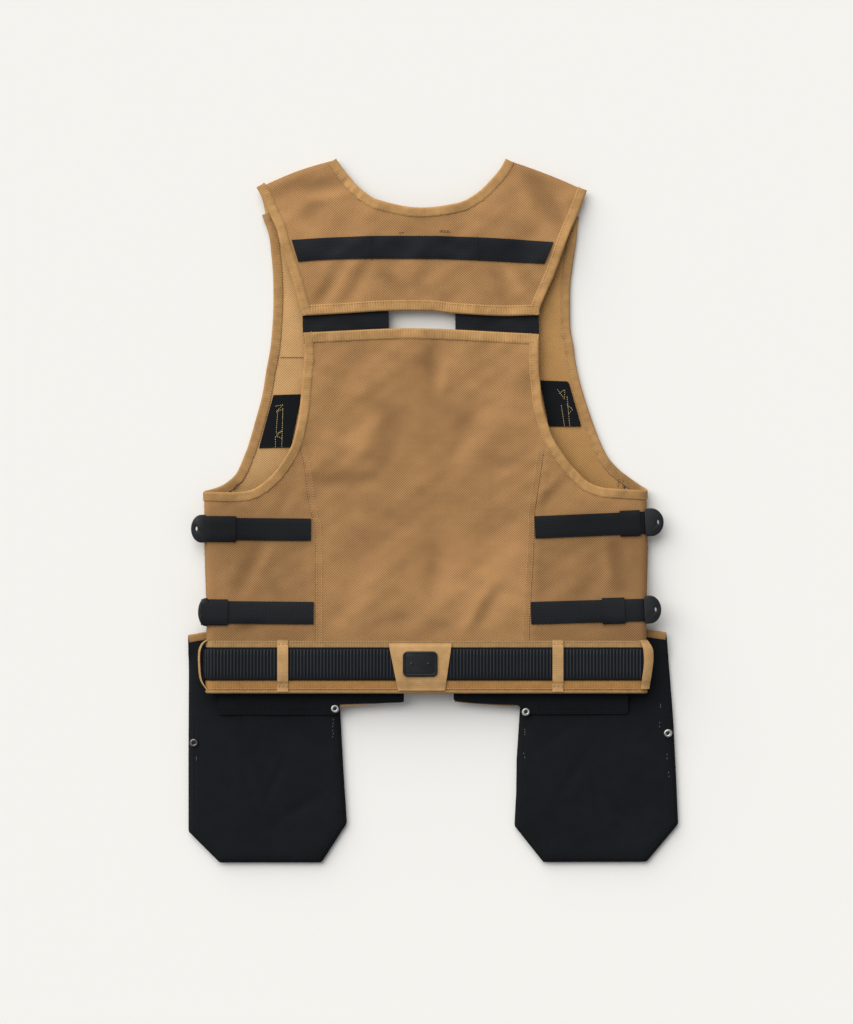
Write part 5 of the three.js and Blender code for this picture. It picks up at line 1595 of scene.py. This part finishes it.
def stage():
    """Floor, light and camera."""
    colours = bpy.context.scene.vest_colours
    scene = bpy.context.scene
    mesh = bpy.data.meshes.new("floor")
    reach = 6
    mesh.from_pydata([(-reach, -reach, 0), (reach, -reach, 0), (reach, reach, 0), (-reach, reach, 0)], [], [(0, 1, 2, 3)])
    floor = bpy.data.objects.new("floor", mesh)
    scene.collection.objects.link(floor)
    f = Finish("floor")
    where, x, y, z = f.place()
    grain = f.noise(where, 300, 2, 0.5)
    f.set(Base_Color=f.colour(shade(colours.floor, 0.99), shade(colours.floor, 1.01), grain))
    f.set(Roughness=0.9, Specular_IOR_Level=0.1)
    mesh.materials.append(f.material)

    world = bpy.data.worlds.new("studio")
    scene.world = world
    world.use_nodes = True
    background = world.node_tree.nodes["Background"]
    background.inputs[0].default_value = (0.97, 0.985, 1.0, 1)
    background.inputs[1].default_value = 0.35

    data = bpy.data.lights.new("key", "SUN")
    data.energy, data.angle, data.color = 4.1, math.radians(75), (1.0, 0.985, 0.955)
    light = bpy.data.objects.new("key", data)
    light.rotation_mode = "QUATERNION"
    light.rotation_quaternion = Vector((0.42, -0.66, -0.6)).to_track_quat("-Z", "Y")
    scene.collection.objects.link(light)

    data = bpy.data.cameras.new("camera")
    camera = bpy.data.objects.new("camera", data)
    scene.collection.objects.link(camera)
    distance, plane, picture = 5.0, 0.02, 1024 * UNIT
    data.sensor_width = 36
    data.lens = 36 * distance / picture
    camera.location = (-0.009, -0.0009, distance + plane)
    camera.rotation_euler = (0, 0, 0)
    scene.camera = camera
    scene.view_settings.view_transform = "Standard"


class VestSizes(bpy.types.PropertyGroup):
    """Sizes of the cloth, tapes and thread."""
    cloth: FloatProperty(name="Cloth", description="Thickness of the canvas", default=0.0019, unit="LENGTH")
    weave: FloatProperty(name="Weave", description="Pitch of the canvas weave", default=0.0034, unit="LENGTH")
    binding: FloatProperty(name="Binding", description="Width of the edge tape", default=0.0125, unit="LENGTH")
    slot_tape: FloatProperty(name="Slot tape", description="Width of the slot's tape", default=0.0138, unit="LENGTH")
    tape_rib: FloatProperty(name="Tape rib", description="Pitch of the tape's ribs", default=0.0034, unit="LENGTH")
    rib_pitch: FloatProperty(name="Belt rib", description="Pitch of the belt's ribs", default=0.0043, unit="LENGTH")
    rib_height: FloatProperty(name="Rib height", description="Height of the belt's ribs", default=0.0014, unit="LENGTH")
    stitch: FloatProperty(name="Stitch", description="Length of a stitch", default=0.0026, unit="LENGTH")
    stitch_pitch: FloatProperty(name="Stitch pitch", description="Distance between stitches", default=0.0034, unit="LENGTH")
    thread: FloatProperty(name="Thread", description="Width of the thread", default=0.0010, unit="LENGTH")


def colour_property(name, description, value):
    return FloatVectorProperty(name=name, description=description, default=value, subtype="COLOR", size=3, min=0, max=1)


class VestColours(bpy.types.PropertyGroup):
    """Colours of the vest and the floor, as linear light."""
    canvas: colour_property("Canvas", "Outside of the canvas", (0.370, 0.199, 0.082))
    lining: colour_property("Canvas inside, left", "Inside of the left front", (0.567, 0.337, 0.145))
    # A shaded copy of the lining colour: the right front is painted darker for the shade it lies in.
    lining_right_shaded: colour_property("Canvas inside, right", "Inside of the right front", (0.464, 0.254, 0.0925))
    tape: colour_property("Tape", "Edge tapes and belt loops", (0.415, 0.234, 0.092))
    loop: colour_property("Loops", "Belt loops and patch", (0.415, 0.248, 0.106))
    # Painted shade: the waistband tape is a darker copy of the edge tape, standing for the shade it lies in.
    waist: colour_property("Waist tape", "Tape above the belt", (0.305, 0.182, 0.077))
    waist_low: colour_property("Waist tape, low", "Tape below the belt", (0.315, 0.160, 0.051))
    webbing: colour_property("Webbing", "Straps and elastic", (0.0082, 0.0094, 0.0122))
    belt: colour_property("Belt", "Ground of the belt", (0.0035, 0.0038, 0.0045))
    # The ribs are real, and their lighter, bluer colour is partly a painted highlight.
    belt_rib: colour_property("Belt ribs", "Raised ribs of the belt", (0.020, 0.0245, 0.031))
    holster: colour_property("Holsters", "Black canvas", (0.0072, 0.0086, 0.0104))
    thread: colour_property("Thread", "Stitches of the tapes", (0.43, 0.255, 0.112))
    gold_thread: colour_property("Gold thread", "Stitches on the black patches", (0.52, 0.38, 0.18))
    brown_thread: colour_property("Brown thread", "Tacks on the canvas", (0.17, 0.09, 0.04))
    pale_thread: colour_property("Pale thread", "Thread ends on the holsters", (0.10, 0.095, 0.085))
    dark_thread: colour_property("Black thread", "Stitches of the holsters", (0.0075, 0.0085, 0.01))
    plastic: colour_property("Plastic", "Buckles and badge", (0.0072, 0.0080, 0.0098))
    steel: colour_property("Steel", "Rivets", (0.5, 0.5, 0.49))
    floor: colour_property("Floor", "Studio floor", (0.8, 0.795, 0.775))


def operator_for(name, label, note, work):
    """One Operator that builds a group of pieces."""
    def execute(self, context):
        work()
        return {"FINISHED"}

    return type(f"VEST_OT_{name}", (bpy.types.Operator,), {
        "bl_idname": f"vest.{name}", "bl_label": label, "__doc__": note, "execute": execute,
    })


OPERATORS = (
    operator_for("back", "Back", "Builds the yoke, the centre back and the side panels", back_panels),
    operator_for("fronts", "Fronts", "Builds the fronts with their facings and patches", front_panels),
    operator_for("bindings", "Bindings", "Builds the tapes round the edges", bindings),
    operator_for("webbing", "Webbing", "Builds the yoke webbing and the slot elastic", webbings),
    operator_for("straps", "Straps", "Builds the side straps and keepers", strap_parts),
    operator_for("buckles", "Buckles", "Builds the strap buckles", buckles),
    operator_for("waist", "Belt", "Builds the waistband and the ribbed belt", waist),
    operator_for("loops", "Loops", "Builds the belt loops and the patch", loops),
    operator_for("badge", "Badge", "Builds the plain badge", badge),
    operator_for("clasp", "Clasp", "Finishes the belt clasp", clasp),
    operator_for("holsters", "Holsters", "Builds the two holsters", holsters),
    operator_for("rivets", "Rivets", "Builds the rivets", rivets),
    operator_for("stitches", "Stitches", "Sews the rows of stitches", stitching),
    operator_for("stage", "Stage", "Sets up floor, light and camera", stage),
)


class VEST_PT_panel(bpy.types.Panel):
    """The vest's pieces, sizes and colours"""
    bl_label = "Work vest"
    bl_idname = "VEST_PT_panel"
    bl_space_type = "VIEW_3D"
    bl_region_type = "UI"
    bl_category = "Vest"

    def draw(self, context):
        for operator in OPERATORS:
            self.layout.operator(operator.bl_idname)
        for group in (context.scene.vest_sizes, context.scene.vest_colours):
            for name in group.__annotations__:
                self.layout.prop(group, name)


CLASSES = (VestSizes, VestColours, *OPERATORS, VEST_PT_panel)


def register():
    for item in CLASSES:
        bpy.utils.register_class(item)
    bpy.types.Scene.vest_sizes = PointerProperty(type=VestSizes)
    bpy.types.Scene.vest_colours = PointerProperty(type=VestColours)


def unregister():
    del bpy.types.Scene.vest_colours
    del bpy.types.Scene.vest_sizes
    for item in reversed(CLASSES):
        bpy.utils.unregister_class(item)


def main():
    register()
    for operator in OPERATORS:
        getattr(bpy.ops.vest, operator.bl_idname.split(".")[1])()
    bpy.context.view_layer.update()


if __name__ == "__main__":
    main()
